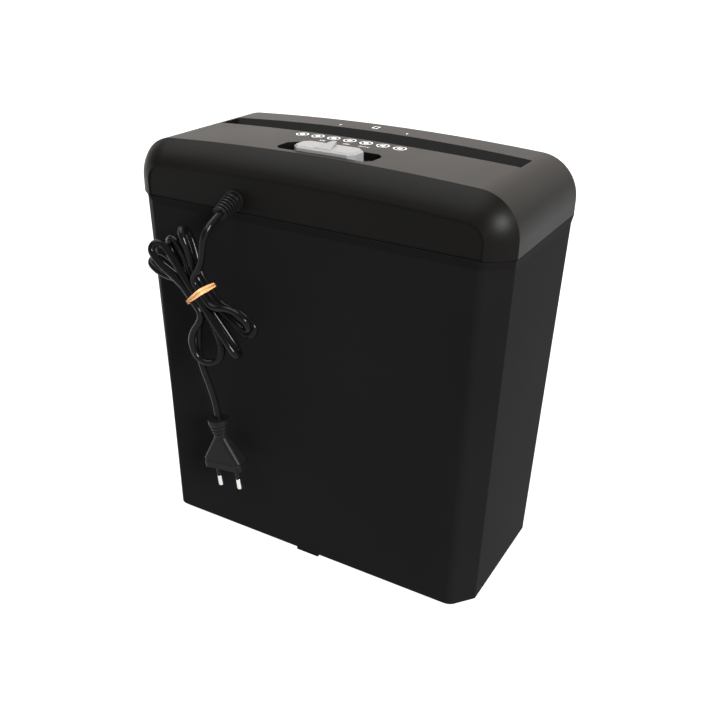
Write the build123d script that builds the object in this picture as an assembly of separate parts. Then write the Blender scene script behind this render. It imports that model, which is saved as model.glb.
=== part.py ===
from build123d import *
import os
from math import acos, atan2, cos, degrees, floor, pi, radians, sin, sqrt, tan

os.makedirs("parts", exist_ok=True)

# Strip-cut paper shredder: a motor head that lifts off an open waste bin.
# Millimetres. X is the width, Y the depth with the user at -Y and the mains lead at +Y, Z is up.

# The paper's throat sets the cutting block's length, the block and its drive set the tub, and the head and
# the bin's rim are fitted round the tub. Overall the head comes to 300 by 143.4.

# Waste bin
FOOT_HEIGHT = 2.5
BIN_HEIGHT = 277.6
BIN_WALL = 2.5
BIN_TAPER_X = 7.2
BIN_TAPER_Y = 1.3
BIN_BASE_CUT_X = 13.7
BIN_BASE_CUT_Y = 17.0
BIN_NECK_CUT_X = 16.7
BIN_NECK_CUT_Y = 14.0
RIM_BAND = 6.5
RIM_FLARE_X = 0.9
RIM_FLARE_Y = 2.3
RIM_SETBACK_X = 0.2
RIM_PROUD_Y = 0.4
RIM_LEDGE_THICKNESS = 3.0
EDGE_BREAK = 2.0
SOFT_CORNER = 9.0
CRISP_CORNER = 1.5
FOOT_TAB_LENGTH = 20.0
FOOT_TAB_THICKNESS = 4.0
FOOT_CORNER_INSET = 22.0

# Head shell
PARTING_GAP = 0.4
HEAD_OVERHANG_X = 12.0
HEAD_OVERHANG_Y = 9.7
HEAD_HEIGHT = 44.2
HEAD_CORNER_RADIUS = 30.0
HEAD_CROWN_RISE = 3.6
HEAD_WALL = 2.6
BEVEL_RUN = 15.6
BEVEL_INSET = 17.0
BEVEL_BULGE = 2.6
PANEL_RECESS = 0.8
PANEL_LIP = 0.5

# Feed funnel and throat
FEED_Y = -18.0
THROAT_LENGTH = 224.0
THROAT_WIDTH = 6.6
THROAT_WALL = 2.0
FUNNEL_DEPTH = 15.0
FUNNEL_RUN_X = 12.5
FUNNEL_RUN_Y = 10.7
FUNNEL_END_DRAFT = 1.5

# Switch
SWITCH_X = -2.4
SWITCH_FROM_BACK = 32.7
POCKET_END_ROOM = 4.5
POCKET_SIDE_GAP = 1.8
POCKET_DEPTH = 5.5
POCKET_FLOOR = 2.0
POCKET_CORNER = 5.0
KNOB_LENGTH = 49.0
KNOB_WIDTH = 19.4
KNOB_RISE = 2.8
KNOB_TRAVEL = 9.0
STEM_LENGTH = 8.0
STEM_WIDTH = 4.0
SWITCH_BODY_WIDTH = 12.0
SWITCH_BODY_HEIGHT = 12.0
SWITCH_SLOT_DEPTH = 5.0
HANGER_LENGTH = 3.0
HANGER_DROP = 7.0
KNOB_CORNER = 4.5
KNOB_EDGE = 1.4
POINTER_WIDTH = 13.0
POINTER_TIP = 3.0
POINTER_FOOT = 0.3
POINTER_RISE = 2.4

# Base tub of the head
TUB_CUT = 12.0
TUB_ROUND = 4.0
TUB_CLEARANCE = 1.6
TUB_WALL = 2.5
FLANGE_THICKNESS = 3.0
EXIT_END_INSET = 2.0
EXIT_WIDTH = 48.0
BOSS_RADIUS = 4.6
BOSS_JOINT_RISE = 9.5
SCREW_RADIUS = 1.75
SCREW_SEAT = 6.0
SCREW_HEAD_RADIUS = 3.2
SCREW_HEAD_HEIGHT = 2.4
SCREW_BITE = 12.0

# Cutting block
CUTTER_DROP = 18.5
CUTTER_OVERLAP = 6.0
DISC_RADIUS = 18.0
DISC_SIDE_GAP = 0.2
STRIP_WIDTH = 7.0
DISC_NOTCHES = 10
DISC_NOTCH_DEPTH = 1.1
SPACER_GAP = 1.0
SHAFT_FLATS = 12.0
SHAFT_END_STEP = 0.4
JOURNAL_RADIUS = 5.0
BUSH_WALL = 3.0
THROAT_END_GAP = 1.0
PLATE_THICKNESS = 3.0
PLATE_EDGE = 5.0
TIE_ROD_RADIUS = 3.0
FRAME_SCREW_RADIUS = 1.5
FRAME_SCREW_BITE = 9.0
FRAME_SCREW_HEAD = 2.0
TIE_ROD_INSET = 4.8
TIE_ROD_RISE = 2.0
COMB_BAR = 3.7
COMB_BAR_HEIGHT = 14.0
COMB_FINGER_HEIGHT = 8.0
COMB_SIDE_GAP = 0.7

# Drive train
PRESSURE_ANGLE = 20.0
ADDENDUM = 0.85
DEDENDUM = 1.15
BACKLASH = 0.2
SYNC_TEETH = 20
SYNC_FACE = 7.0
FINAL_MODULE = 1.25
FINAL_TEETH = 44
FINAL_PINION_TEETH = 12
FINAL_FACE = 6.5
FIRST_MODULE = 0.8
FIRST_TEETH = 48
FIRST_PINION_TEETH = 12
FIRST_FACE = 6.0
GEAR_AXLE_RADIUS = 3.0
MOTOR_RADIUS = 18.0
MOTOR_LENGTH = 70.0
MOTOR_SHAFT_RADIUS = 2.0
MOTOR_DROP = 6.0
MOTOR_BOSS_RADIUS = 8.0
MOTOR_SHAFT_SEAT = 8.0

MOTOR_CAP_LENGTH = 4.0
MOTOR_CAP_RADIUS = 14.4
MOTOR_TERMINAL_OFFSET = 7.2
GEAR_AXLE_SHOULDER = 1.5
CLIP_THICKNESS = 1.2
CLIP_RADIUS = 6.5
CLIP_LAND = 0.8

# Paper sensor in the throat
SENSOR_HUB_RADIUS = 3.0
SENSOR_PIN_RADIUS = 1.25
SENSOR_WIDTH = 4.0
SENSOR_ARM = 2.4
SENSOR_TIP_GAP = 0.8
SENSOR_EAR = 2.0
SENSOR_HUB_GAP = 1.2
SENSOR_RISE = 12.5
SENSOR_WINDOW_DROP = 8.5
SENSOR_WINDOW_RISE = 3.0
SENSOR_BODY_LENGTH = 12.0
SENSOR_BODY_DEPTH = 7.5
SENSOR_BODY_HEIGHT = 9.0

# Cut-out that feels whether the head is seated
INTERLOCK_Y = 20.0
INTERLOCK_INSET = 7.0
PLUNGER_RADIUS = 2.0
PLUNGER_COLLAR_RADIUS = 3.0
PLUNGER_COLLAR_HEIGHT = 2.0
PLUNGER_TRAVEL = 4.0
PLUNGER_HEIGHT = 12.0
INTERLOCK_SWITCH_LENGTH = 18.0
INTERLOCK_SWITCH_WIDTH = 8.0
INTERLOCK_SWITCH_HEIGHT = 9.0
INTERLOCK_POST = 2.5

# Circuit board; each component is its corner on the board and its length, width and height
BOARD_LENGTH = 66.0
BOARD_WIDTH = 30.0
BOARD_THICKNESS = 1.6
BOARD_RISE = 12.5
BOARD_POST_RADIUS = 3.0
BOARD_POST_INSET = 4.0
BOARD_PLATE_GAP = 12.0
RELAY = (8.0, 10.0, 19.0, 15.0, 15.0)
FILM_CAPACITOR = (31.0, 4.0, 12.0, 18.0, 13.0)
TERMINAL_BLOCK = (54.0, 9.0, 9.0, 16.0, 9.0)
CAPACITOR_RADIUS = 4.0
CAPACITOR_HEIGHT = 12.0
CAPACITOR_PLACES = [(48.5, 8.0), (48.5, 18.0)]
TERMINAL_LENGTH = 5.0
TERMINAL_WIDTH = 2.4
TERMINAL_THICKNESS = 0.8

# Mains lead; the points of its route are offsets from the grommet's middle on the back panel
LEAD_X = 55.2
LEAD_RISE = 8.0
GROMMET_HOLE_RADIUS = 4.2
GROMMET_FLANGE_RADIUS = 7.6
GROMMET_FLANGE = 2.0
GROMMET_COLLAR = 2.0
GROMMET_SNAP = 0.9
BOOT_DROOP = 20.0
BOOT_LENGTH = 16.0
BOOT_RIBS = 6
BOOT_RIB_RADIUS = 7.0
BOOT_RIB_TAPER = 1.4
BOOT_RIB_START = 0.35
BOOT_RIB_SLOPE = 0.07
BOOT_RIB_END = 0.88
BOOT_CORE_RADIUS = 5.2
BOOT_CORE_TAPER = 1.2
CORD_DIAMETER = 5.2
LEAD_FIRST_RUN = 8.2
LEAD_LAST_RUN = 7.9
LEAD_ROUTE = [(1.0, 30.9, -13.8), (2.6, 34.4, -21.3)]
TAIL_END_RUN = 13.0
TAIL_ROUTE = [(19.0, 22.5, -127.5), (16.0, 19.3, -142.5)]

# Hank: loops below and above the waist, each given by its angle from upright, its reach from the waist,
# its fold radius and the tilt of the fold out of the panel's normal
HANK_START = (8.0, 30.6, -41.3)
HANK_START_WAY = (0.344, -0.344, -1.0)
HANK_END = (19.2, 24.6, -94.5)
HANK_END_WAY = (0.05, 0.0, -1.0)
HANK_WAIST = (12.0, 25.1, -64.6)
HANK_LEAN = 40.0
HANK_GAP = 0.8
HANK_WAIST_HALF = 4.0
LOWER_LOOPS = [(57.0, 46.0, 6.5, 15.0), (44.0, 46.0, 6.5, 20.0), (29.0, 51.0, 7.5, 25.0), (9.0, 53.0, 11.0, 38.0)]
UPPER_LOOPS = [(26.0, 48.0, 6.2, 10.0), (46.0, 44.0, 6.4, 25.0), (52.0, 52.0, 11.5, 25.0), (58.0, 49.0, 8.0, 25.0)]
TIE_WIDTH = 4.5
TIE_THICKNESS = 1.1
TIE_GAP = 0.3

# Plug; the stations along it are shares of its length
PLUG_TOP = (11.6, 17.1, -171.0)
PLUG_LEAN = 8.0
PLUG_LENGTH = 42.0
PLUG_WIDTH = 35.5
PLUG_THICKNESS = 13.7
PLUG_CORNER = 3.8
PLUG_COLLAR = (17.0, 15.4, 7.2)
PLUG_NECK = (11.5, 10.0, 4.4)
PLUG_RINGS = 3
RING_START = 0.13
RING_PITCH = 0.075
RING_DEPTH = 0.7
COLLAR_END = 0.08
NECK_START = 0.33
NECK_END = 0.37
SEAM_SHARE = 0.86
SEAM_WIDTH = 1.2
SEAM_DEPTH = 0.7
PIN_SPACING = 18.6
PIN_RADIUS = 2.0
PIN_CORE_RADIUS = 1.4
PIN_LENGTH = 19.0
PIN_SLEEVE = 10.0
PIN_ROUND = 1.2

# Clearances
RUNNING_FIT = 0.03
SLIDING_GAP = 0.3
SEAT_GAP = 0.05
LAYER_GAP = 1.0
DISC_CLEARANCE = 0.8
MOTOR_CLEARANCE = 2.5
DRIVE_FLOOR_GAP = 3.0

# Levels and centres worked out from the sizes above
BIN_FLOOR_Z = FOOT_HEIGHT
RIM_Z = FOOT_HEIGHT + BIN_HEIGHT
HEAD_Z = RIM_Z + PARTING_GAP
TOP_Z = HEAD_Z + HEAD_HEIGHT
MOUTH_LENGTH = THROAT_LENGTH + 2 * FUNNEL_RUN_X
MOUTH_WIDTH = THROAT_WIDTH + 2 * FUNNEL_RUN_Y
EXIT_LENGTH = THROAT_LENGTH - 2 * EXIT_END_INSET
DISC_THICKNESS = STRIP_WIDTH - 2 * DISC_SIDE_GAP
FRONT_DISC_COUNT = floor(THROAT_LENGTH / (2 * STRIP_WIDTH))
CUTTER_SPACING = 2 * DISC_RADIUS - CUTTER_OVERLAP
SPACER_RADIUS = CUTTER_SPACING - DISC_RADIUS - SPACER_GAP
BUSH_RADIUS = JOURNAL_RADIUS + BUSH_WALL
COMB_REACH = CUTTER_SPACING / 2 + DISC_RADIUS + DISC_CLEARANCE
PLATE_REACH = COMB_REACH + COMB_BAR
MOTOR_Y = FEED_Y + PLATE_REACH + MOTOR_RADIUS + MOTOR_CLEARANCE
CUTTER_Z = HEAD_Z - CUTTER_DROP
FINAL_GEAR_RADIUS = FINAL_MODULE * (FINAL_TEETH / 2 + ADDENDUM)
TUB_FLOOR_Z = CUTTER_Z - FINAL_GEAR_RADIUS - DRIVE_FLOOR_GAP
TUB_Z = TUB_FLOOR_Z - TUB_WALL
FLANGE_TOP_Z = RIM_Z + FLANGE_THICKNESS
FRONT_Y = FEED_Y - CUTTER_SPACING / 2
REAR_Y = FEED_Y + CUTTER_SPACING / 2
SHAFT_END_FLATS = sqrt(3) * (JOURNAL_RADIUS - SHAFT_END_STEP)
TIE_ROD_Y = COMB_REACH - TIE_ROD_INSET
TIE_ROD_Z = DISC_RADIUS + TIE_ROD_RISE
PLATE_X = THROAT_LENGTH / 2 + THROAT_END_GAP
PLATE_OUT_X = PLATE_X + PLATE_THICKNESS
PLATE_TOP_Z = CUTTER_Z + TIE_ROD_Z + PLATE_EDGE
THROAT_END_Z = PLATE_TOP_Z + THROAT_WALL
MOTOR_Z = CUTTER_Z - MOTOR_DROP
FIRST_X = PLATE_OUT_X + 2.5 * LAYER_GAP
FINAL_X = FIRST_X + FIRST_FACE + LAYER_GAP
TUB_WIDTH = 2 * (FINAL_X + FINAL_FACE + 3.5 * LAYER_GAP + TUB_WALL)
TUB_DEPTH = 2 * (MOTOR_Y + MOTOR_RADIUS + 1.5 * LAYER_GAP + TUB_WALL)
HEAD_WIDTH = TUB_WIDTH + 2 * HEAD_OVERHANG_X
HEAD_DEPTH = TUB_DEPTH + 2 * HEAD_OVERHANG_Y
PANEL_Y = HEAD_DEPTH / 2
TOP_HALF_DEPTH = PANEL_Y - BEVEL_RUN
CROWN_HALF = HEAD_WIDTH / 2 - HEAD_CORNER_RADIUS
CROWN_RADIUS = (CROWN_HALF ** 2 + HEAD_CROWN_RISE ** 2) / (2 * HEAD_CROWN_RISE)
BIN_NECK_WIDTH = HEAD_WIDTH - 2 * (RIM_SETBACK_X + RIM_FLARE_X)
BIN_NECK_DEPTH = HEAD_DEPTH + 2 * (RIM_PROUD_Y - RIM_FLARE_Y)
BIN_BASE_WIDTH = BIN_NECK_WIDTH - 2 * BIN_TAPER_X
BIN_BASE_DEPTH = BIN_NECK_DEPTH - 2 * BIN_TAPER_Y
SWITCH_Y = PANEL_Y - SWITCH_FROM_BACK
POCKET_LENGTH = KNOB_LENGTH + 2 * (KNOB_TRAVEL + POCKET_END_ROOM)
POCKET_WIDTH = KNOB_WIDTH + 2 * POCKET_SIDE_GAP
BOSS_JOINT_Z = RIM_Z + BOSS_JOINT_RISE
BOSS_Y = TUB_DEPTH / 2 - TUB_WALL - BOSS_RADIUS - SLIDING_GAP
BOSS_X = (TUB_WIDTH + TUB_DEPTH) / 2 - TUB_CUT - BOSS_Y - sqrt(2) * BOSS_RADIUS
THROAT_BACK_Y = FEED_Y + THROAT_WIDTH / 2 + THROAT_WALL
SENSOR_Y = THROAT_BACK_Y + SENSOR_HUB_GAP + SENSOR_HUB_RADIUS
SENSOR_Z = THROAT_END_Z + SENSOR_RISE
SENSOR_REACH = SENSOR_Y - FEED_Y + THROAT_WIDTH / 2 - SENSOR_TIP_GAP
INTERLOCK_X = INTERLOCK_INSET - HEAD_WIDTH / 2
INTERLOCK_Z = RIM_Z + PLUNGER_HEIGHT + SLIDING_GAP
PANEL_OUT_Y = PANEL_Y - PANEL_RECESS
PANEL_IN_Y = PANEL_OUT_Y - HEAD_WALL
LEAD_Z = HEAD_Z + LEAD_RISE
POCKET_Z = TOP_Z - POCKET_DEPTH
POCKET_FLOOR_Z = POCKET_Z - POCKET_FLOOR
SLOT_HALF = STEM_LENGTH / 2 + KNOB_TRAVEL + SLIDING_GAP
SWITCH_TOP_Z = POCKET_FLOOR_Z - HANGER_DROP
BOARD_Z = TUB_FLOOR_Z + BOARD_RISE
BOARD_X0 = -PLATE_X + BOARD_PLATE_GAP
BOARD_Y0 = FEED_Y + PLATE_REACH + 4 * LAYER_GAP
SYNC_MODULE = CUTTER_SPACING / SYNC_TEETH
SYNC_X = PLATE_OUT_X + 2.5 * LAYER_GAP
SHAFT_MAIN_HALF = PLATE_X - SLIDING_GAP
JOURNAL_END = PLATE_OUT_X + SLIDING_GAP
SHAFT_SYNC_END = SYNC_X + SYNC_FACE + CLIP_THICKNESS + CLIP_LAND
SHAFT_DRIVE_END = FINAL_X + FINAL_FACE + CLIP_THICKNESS + CLIP_LAND
HANK_STEP = CORD_DIAMETER + HANK_GAP


def block(x0, x1, y0, y1, z0, z1):
    """Box between two corners."""
    return Pos((x0 + x1) / 2, (y0 + y1) / 2, (z0 + z1) / 2) * Box(x1 - x0, y1 - y0, z1 - z0)


def rod(radius, x0, x1, y, z):
    """Round bar along X."""
    return Pos((x0 + x1) / 2, y, z) * Rot(0, 90, 0) * Cylinder(radius, x1 - x0)


def post(radius, x, y, z0, z1):
    """Round bar along Z."""
    return Pos(x, y, (z0 + z1) / 2) * Cylinder(radius, z1 - z0)


def across(x, y, z):
    """Sketch plane that faces +X, with its own x along Y and its own y along Z."""
    return Plane(origin=(x, y, z), x_dir=(0, 1, 0), z_dir=(1, 0, 0))


def hex_bar(flats, x0, x1, y, z):
    """Six-sided bar along X, given its size across flats."""
    outline = RegularPolygon(flats / sqrt(3), 6)
    return extrude(across(x0, y, z) * outline, x1 - x0)


def octagon(width, depth, cut_x, cut_y, z, soft=SOFT_CORNER, crisp=CRISP_CORNER):
    """Rectangle with cut corners: rounded where the cut meets front and back, crisp at the sides."""
    half_x = width / 2
    half_y = depth / 2
    corners = [(half_x, half_y - cut_y), (half_x - cut_x, half_y)]
    corners += [(-x, y) for x, y in reversed(corners)]
    corners += [(-x, -y) for x, y in corners]
    face = make_face(Polyline(*corners, close=True))
    backs = [v for v in face.vertices() if abs(abs(v.Y) - half_y) < 1e-6]
    face = fillet(backs, soft)
    sides = [v for v in face.vertices() if abs(abs(v.X) - half_x) < 1e-6 and abs(v.Y) > half_y - 1.2 * cut_y]
    face = fillet(sides, crisp)
    return Pos(0, 0, z) * face


def bin_section(share, inset, z, flare=0.0):
    """Plan of the bin wall between its base, share 0, and its neck, share 1, with a part of the rim's flare."""
    width = BIN_BASE_WIDTH + share * (BIN_NECK_WIDTH - BIN_BASE_WIDTH) + 2 * (flare * RIM_FLARE_X - inset)
    depth = BIN_BASE_DEPTH + share * (BIN_NECK_DEPTH - BIN_BASE_DEPTH) + 2 * (flare * RIM_FLARE_Y - inset)
    cut_x = BIN_BASE_CUT_X + share * (BIN_NECK_CUT_X - BIN_BASE_CUT_X)
    cut_y = BIN_BASE_CUT_Y + share * (BIN_NECK_CUT_Y - BIN_BASE_CUT_Y)
    return octagon(width, depth, cut_x, cut_y, z)


def tub_section(inset, z):
    """Plan of the tub that hangs from the head, shrunk by an inset."""
    size = 2 * inset
    return octagon(TUB_WIDTH - size, TUB_DEPTH - size, TUB_CUT, TUB_CUT, z, TUB_ROUND, TUB_ROUND)


def bin_shell():
    """Tapered bin with a flared rim, an inner ledge that carries the head, and foot tabs."""
    neck_z = RIM_Z - RIM_BAND
    ledge_z = RIM_Z - RIM_LEDGE_THICKNESS
    ledge_share = (ledge_z - neck_z) / RIM_BAND
    outside = loft([bin_section(0, EDGE_BREAK, BIN_FLOOR_Z),
                    bin_section(0, 0, BIN_FLOOR_Z + EDGE_BREAK),
                    bin_section(1, 0, neck_z),
                    bin_section(1, 0, RIM_Z, flare=1)], ruled=True)
    inside = loft([bin_section(0, BIN_WALL, BIN_FLOOR_Z + BIN_WALL),
                   bin_section(1, BIN_WALL, neck_z),
                   bin_section(1, BIN_WALL, ledge_z, flare=ledge_share)], ruled=True)
    opening = extrude(tub_section(-TUB_CLEARANCE, ledge_z), RIM_LEDGE_THICKNESS)
    shell = outside - inside - opening
    tab_y = BIN_BASE_DEPTH / 2 - EDGE_BREAK - FOOT_TAB_THICKNESS / 2
    corner_x = BIN_BASE_WIDTH / 2 - FOOT_CORNER_INSET - FOOT_TAB_LENGTH / 2
    corner_y = BIN_BASE_DEPTH / 2 - FOOT_CORNER_INSET
    tab = Box(FOOT_TAB_LENGTH, FOOT_TAB_THICKNESS, FOOT_HEIGHT)
    places = [(0, tab_y), (corner_x, corner_y), (-corner_x, corner_y)]
    for x, y in places:
        shell += Pos(x, y, FOOT_HEIGHT / 2) * tab
        shell += Pos(x, -y, FOOT_HEIGHT / 2) * tab
    return shell


def arch(inset, y, bottom=HEAD_Z):
    """Outline of the head seen from the front, shrunk by an inset, with its crowned top."""
    crown_z = TOP_Z - CROWN_RADIUS
    corner_z = crown_z + sqrt((CROWN_RADIUS - HEAD_CORNER_RADIUS) ** 2 - CROWN_HALF ** 2)
    turn = atan2(corner_z - crown_z, CROWN_HALF)
    radius = HEAD_CORNER_RADIUS - inset
    crown = CROWN_RADIUS - inset

    def corner(angle, side):
        return (side * (CROWN_HALF + radius * cos(angle)), y, corner_z + radius * sin(angle))

    foot = HEAD_WIDTH / 2 - inset
    edges = [Line((-foot, y, bottom), (foot, y, bottom)),
             Line((foot, y, bottom), corner(0, 1)),
             ThreePointArc(corner(0, 1), corner(turn / 2, 1), corner(turn, 1)),
             ThreePointArc(corner(turn, 1), (0, y, crown_z + crown), corner(turn, -1)),
             ThreePointArc(corner(turn, -1), corner(turn / 2, -1), corner(0, -1)),
             Line(corner(0, -1), (-foot, y, bottom))]
    return make_face(Wire(edges))


def head_form(wall, bottom):
    """Closed form of the head: an arched bar with a convex bevel towards each panel."""
    slant = wall * sqrt(0.5)
    run = PANEL_Y - TOP_HALF_DEPTH
    panel_y = PANEL_Y - (wall + PANEL_RECESS if wall else 0)
    start_y = TOP_HALF_DEPTH - 0.4 * wall
    middle_y = TOP_HALF_DEPTH + 0.55 * run - slant
    middle_inset = 0.55 * BEVEL_INSET - BEVEL_BULGE + slant
    bar = extrude(arch(wall, start_y, bottom), 2 * start_y, dir=(0, -1, 0))
    bevel = loft([arch(wall, start_y, bottom),
                  arch(middle_inset, middle_y, bottom),
                  arch(BEVEL_INSET + 0.4 * wall, panel_y, bottom)])
    return bar + bevel + mirror(bevel, Plane.XZ)


def funnel(margin, top_z, end_z):
    """Feed trough with steep ends and sloping sides, and the throat below it, grown by a margin all round."""
    floor_z = TOP_Z - FUNNEL_DEPTH - margin
    spread = (top_z - floor_z) / (FUNNEL_DEPTH + margin)
    mouth = Rectangle(MOUTH_LENGTH + 2 * (spread - 1) * FUNNEL_END_DRAFT + 2 * margin,
                      THROAT_WIDTH + spread * (MOUTH_WIDTH - THROAT_WIDTH) + 2 * margin)
    floor_plan = Rectangle(MOUTH_LENGTH - 2 * FUNNEL_END_DRAFT + 2 * margin, THROAT_WIDTH + 2 * margin)
    trough = loft([Pos(0, FEED_Y, floor_z) * floor_plan, Pos(0, FEED_Y, top_z) * mouth], ruled=True)
    throat = Rectangle(THROAT_LENGTH + 2 * margin, THROAT_WIDTH + 2 * margin)
    return trough + extrude(Pos(0, FEED_Y, end_z) * throat, floor_z - end_z)


def switch_pocket(margin, z0, z1):
    """Switch pocket in plan, with cut corners, between two levels."""
    plan = Rectangle(POCKET_LENGTH + 2 * margin, POCKET_WIDTH + 2 * margin)
    plan = chamfer(plan.vertices(), POCKET_CORNER)
    return extrude(Pos(SWITCH_X, SWITCH_Y, z0) * plan, z1 - z0)


def boss_places():
    """Centres of the four screw bosses."""
    return [(x, y) for x in (BOSS_X, -BOSS_X) for y in (BOSS_Y, -BOSS_Y)]


def span(side, near, far):
    """The two ends of a stretch along X on one side, in rising order."""
    return sorted((side * near, side * far))


def head_cover():
    """Arched cover with the feed funnel, switch pocket, screw bosses and grommet hole."""
    form = head_form(0, HEAD_Z)
    shell = form - head_form(HEAD_WALL, HEAD_Z - 1)
    inner = funnel(THROAT_WALL, TOP_Z, THROAT_END_Z)
    inner += switch_pocket(POCKET_FLOOR, POCKET_FLOOR_Z, TOP_Z)
    half = SWITCH_BODY_WIDTH / 2
    for side in (-1, 1):
        x0, x1 = span(side, SLOT_HALF, SLOT_HALF + HANGER_LENGTH)
        inner += Pos(SWITCH_X, SWITCH_Y, 0) * block(x0, x1, -half, half, SWITCH_TOP_Z, POCKET_FLOOR_Z)
        x0, x1 = span(side, SENSOR_WIDTH / 2 + SLIDING_GAP, SENSOR_WIDTH / 2 + SLIDING_GAP + SENSOR_EAR)
        inner += block(x0, x1, THROAT_BACK_Y, SENSOR_Y + SENSOR_HUB_RADIUS,
                       SENSOR_Z - SENSOR_HUB_RADIUS, SENSOR_Z + SENSOR_HUB_RADIUS)
    for x, y in boss_places():
        inner += post(BOSS_RADIUS, x, y, BOSS_JOINT_Z, TOP_Z)
    shell += inner & form
    shell -= funnel(0, TOP_Z + 2, THROAT_END_Z)
    shell -= switch_pocket(0, POCKET_Z, TOP_Z + 2)
    half = STEM_WIDTH / 2 + SLIDING_GAP
    shell -= Pos(SWITCH_X, SWITCH_Y, 0) * block(-SLOT_HALF, SLOT_HALF, -half, half, POCKET_FLOOR_Z, TOP_Z)
    for x, y in boss_places():
        shell -= post(SCREW_RADIUS + SEAT_GAP, x, y, BOSS_JOINT_Z, BOSS_JOINT_Z + SCREW_BITE + 1)
    half = SENSOR_WIDTH / 2 + SLIDING_GAP
    shell -= block(-half, half, FEED_Y, THROAT_BACK_Y,
                   SENSOR_Z - SENSOR_WINDOW_DROP, SENSOR_Z + SENSOR_WINDOW_RISE)
    half += SENSOR_EAR
    shell -= rod(SENSOR_PIN_RADIUS, -half, half, SENSOR_Y, SENSOR_Z)
    recess = extrude(arch(BEVEL_INSET + PANEL_LIP, PANEL_Y, HEAD_Z - 1), PANEL_RECESS, dir=(0, -1, 0))
    shell -= recess
    shell -= mirror(recess, Plane.XZ)
    hole = Pos(LEAD_X, PANEL_Y, LEAD_Z) * Rot(90, 0, 0) * Cylinder(GROMMET_HOLE_RADIUS, 6 * HEAD_WALL)
    return shell - hole


def head_base():
    """Tub below the head with a seating flange, the shred exit, bosses and board posts."""
    margin = HEAD_WALL + SLIDING_GAP
    flange_plan = octagon(HEAD_WIDTH - 2 * margin, 2 * (PANEL_IN_Y - SLIDING_GAP), BEVEL_INSET,
                          PANEL_Y - TOP_HALF_DEPTH, RIM_Z, CRISP_CORNER, CRISP_CORNER)
    base = extrude(flange_plan, FLANGE_THICKNESS)
    base += extrude(tub_section(0, TUB_Z), FLANGE_TOP_Z - TUB_Z)
    base -= extrude(tub_section(TUB_WALL, TUB_FLOOR_Z), FLANGE_TOP_Z - TUB_FLOOR_Z)
    for x, y in boss_places():
        base += post(BOSS_RADIUS, x, y, TUB_Z, BOSS_JOINT_Z)
    for x, y in board_corners():
        base += post(BOARD_POST_RADIUS, x, y, TUB_Z, BOARD_Z)
    x0 = INTERLOCK_X - PLUNGER_RADIUS + SLIDING_GAP
    for side in (-1, 1):
        y0, y1 = span(side, INTERLOCK_SWITCH_LENGTH / 2 - INTERLOCK_POST, INTERLOCK_SWITCH_LENGTH / 2)
        base += block(x0, x0 + INTERLOCK_SWITCH_WIDTH, INTERLOCK_Y + y0, INTERLOCK_Y + y1, RIM_Z, INTERLOCK_Z)
    base -= block(-EXIT_LENGTH / 2, EXIT_LENGTH / 2, FEED_Y - EXIT_WIDTH / 2, FEED_Y + EXIT_WIDTH / 2,
                  TUB_Z, TUB_FLOOR_Z)
    base -= post(PLUNGER_RADIUS + RUNNING_FIT, INTERLOCK_X, INTERLOCK_Y, RIM_Z, FLANGE_TOP_Z)
    for x, y in boss_places():
        base -= post(SCREW_RADIUS + SEAT_GAP, x, y, TUB_Z, BOSS_JOINT_Z)
        base -= post(SCREW_HEAD_RADIUS + SEAT_GAP, x, y, TUB_Z, BOSS_JOINT_Z - SCREW_SEAT)
    return base


def cover_screws():
    """Four screws that come up through the tub's bosses into the cover."""
    seat_z = BOSS_JOINT_Z - SCREW_SEAT
    screws = []
    for x, y in boss_places():
        shank = post(SCREW_RADIUS, x, y, seat_z, BOSS_JOINT_Z + SCREW_BITE)
        screws.append(shank + post(SCREW_HEAD_RADIUS, x, y, seat_z - SCREW_HEAD_HEIGHT, seat_z))
    return Compound(screws)


def switch_slider():
    """Three-position knob: a block with cut corners, a wedge that points at the marks, and a stem."""
    top_z = TOP_Z + KNOB_RISE
    bottom_z = POCKET_Z + SLIDING_GAP
    plan = Rectangle(KNOB_LENGTH, KNOB_WIDTH)
    plan = chamfer(plan.vertices(), KNOB_CORNER)
    knob = extrude(Pos(0, 0, bottom_z) * plan, top_z - bottom_z)
    knob = chamfer(knob.edges().group_by(Axis.Z)[-1], KNOB_EDGE)

    def wedge_end(y, width, rise):
        middle_z = top_z + (rise - KNOB_EDGE) / 2
        return Plane(origin=(0, y, middle_z), x_dir=(1, 0, 0), z_dir=(0, 1, 0)) * Rectangle(width, rise + KNOB_EDGE)

    reach = KNOB_WIDTH / 2 - KNOB_EDGE
    knob += loft([wedge_end(reach, POINTER_WIDTH, POINTER_FOOT), wedge_end(-reach, POINTER_TIP, POINTER_RISE)],
                 ruled=True)
    stem_z = SWITCH_TOP_Z - SWITCH_SLOT_DEPTH + SLIDING_GAP
    knob += block(-STEM_LENGTH / 2, STEM_LENGTH / 2, -STEM_WIDTH / 2, STEM_WIDTH / 2, stem_z, bottom_z)
    return Pos(SWITCH_X, SWITCH_Y, 0) * knob


def slide_switch():
    """Electrical slide switch that hangs under the pocket, with a slot for the stem."""
    half_x = SLOT_HALF + HANGER_LENGTH
    half_y = SWITCH_BODY_WIDTH / 2
    bottom = SWITCH_TOP_Z - SWITCH_BODY_HEIGHT
    body = block(-half_x, half_x, -half_y, half_y, bottom, SWITCH_TOP_Z)
    half_y = STEM_WIDTH / 2 + SLIDING_GAP
    body -= block(-SLOT_HALF, SLOT_HALF, -half_y, half_y, SWITCH_TOP_Z - SWITCH_SLOT_DEPTH, SWITCH_TOP_Z)
    half_y = TERMINAL_THICKNESS / 2
    half = TERMINAL_WIDTH / 2
    for x in (-KNOB_TRAVEL, 0, KNOB_TRAVEL):
        body += block(x - half, x + half, -half_y, half_y, bottom - TERMINAL_LENGTH, bottom)
    return Pos(SWITCH_X, SWITCH_Y, 0) * body


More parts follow.
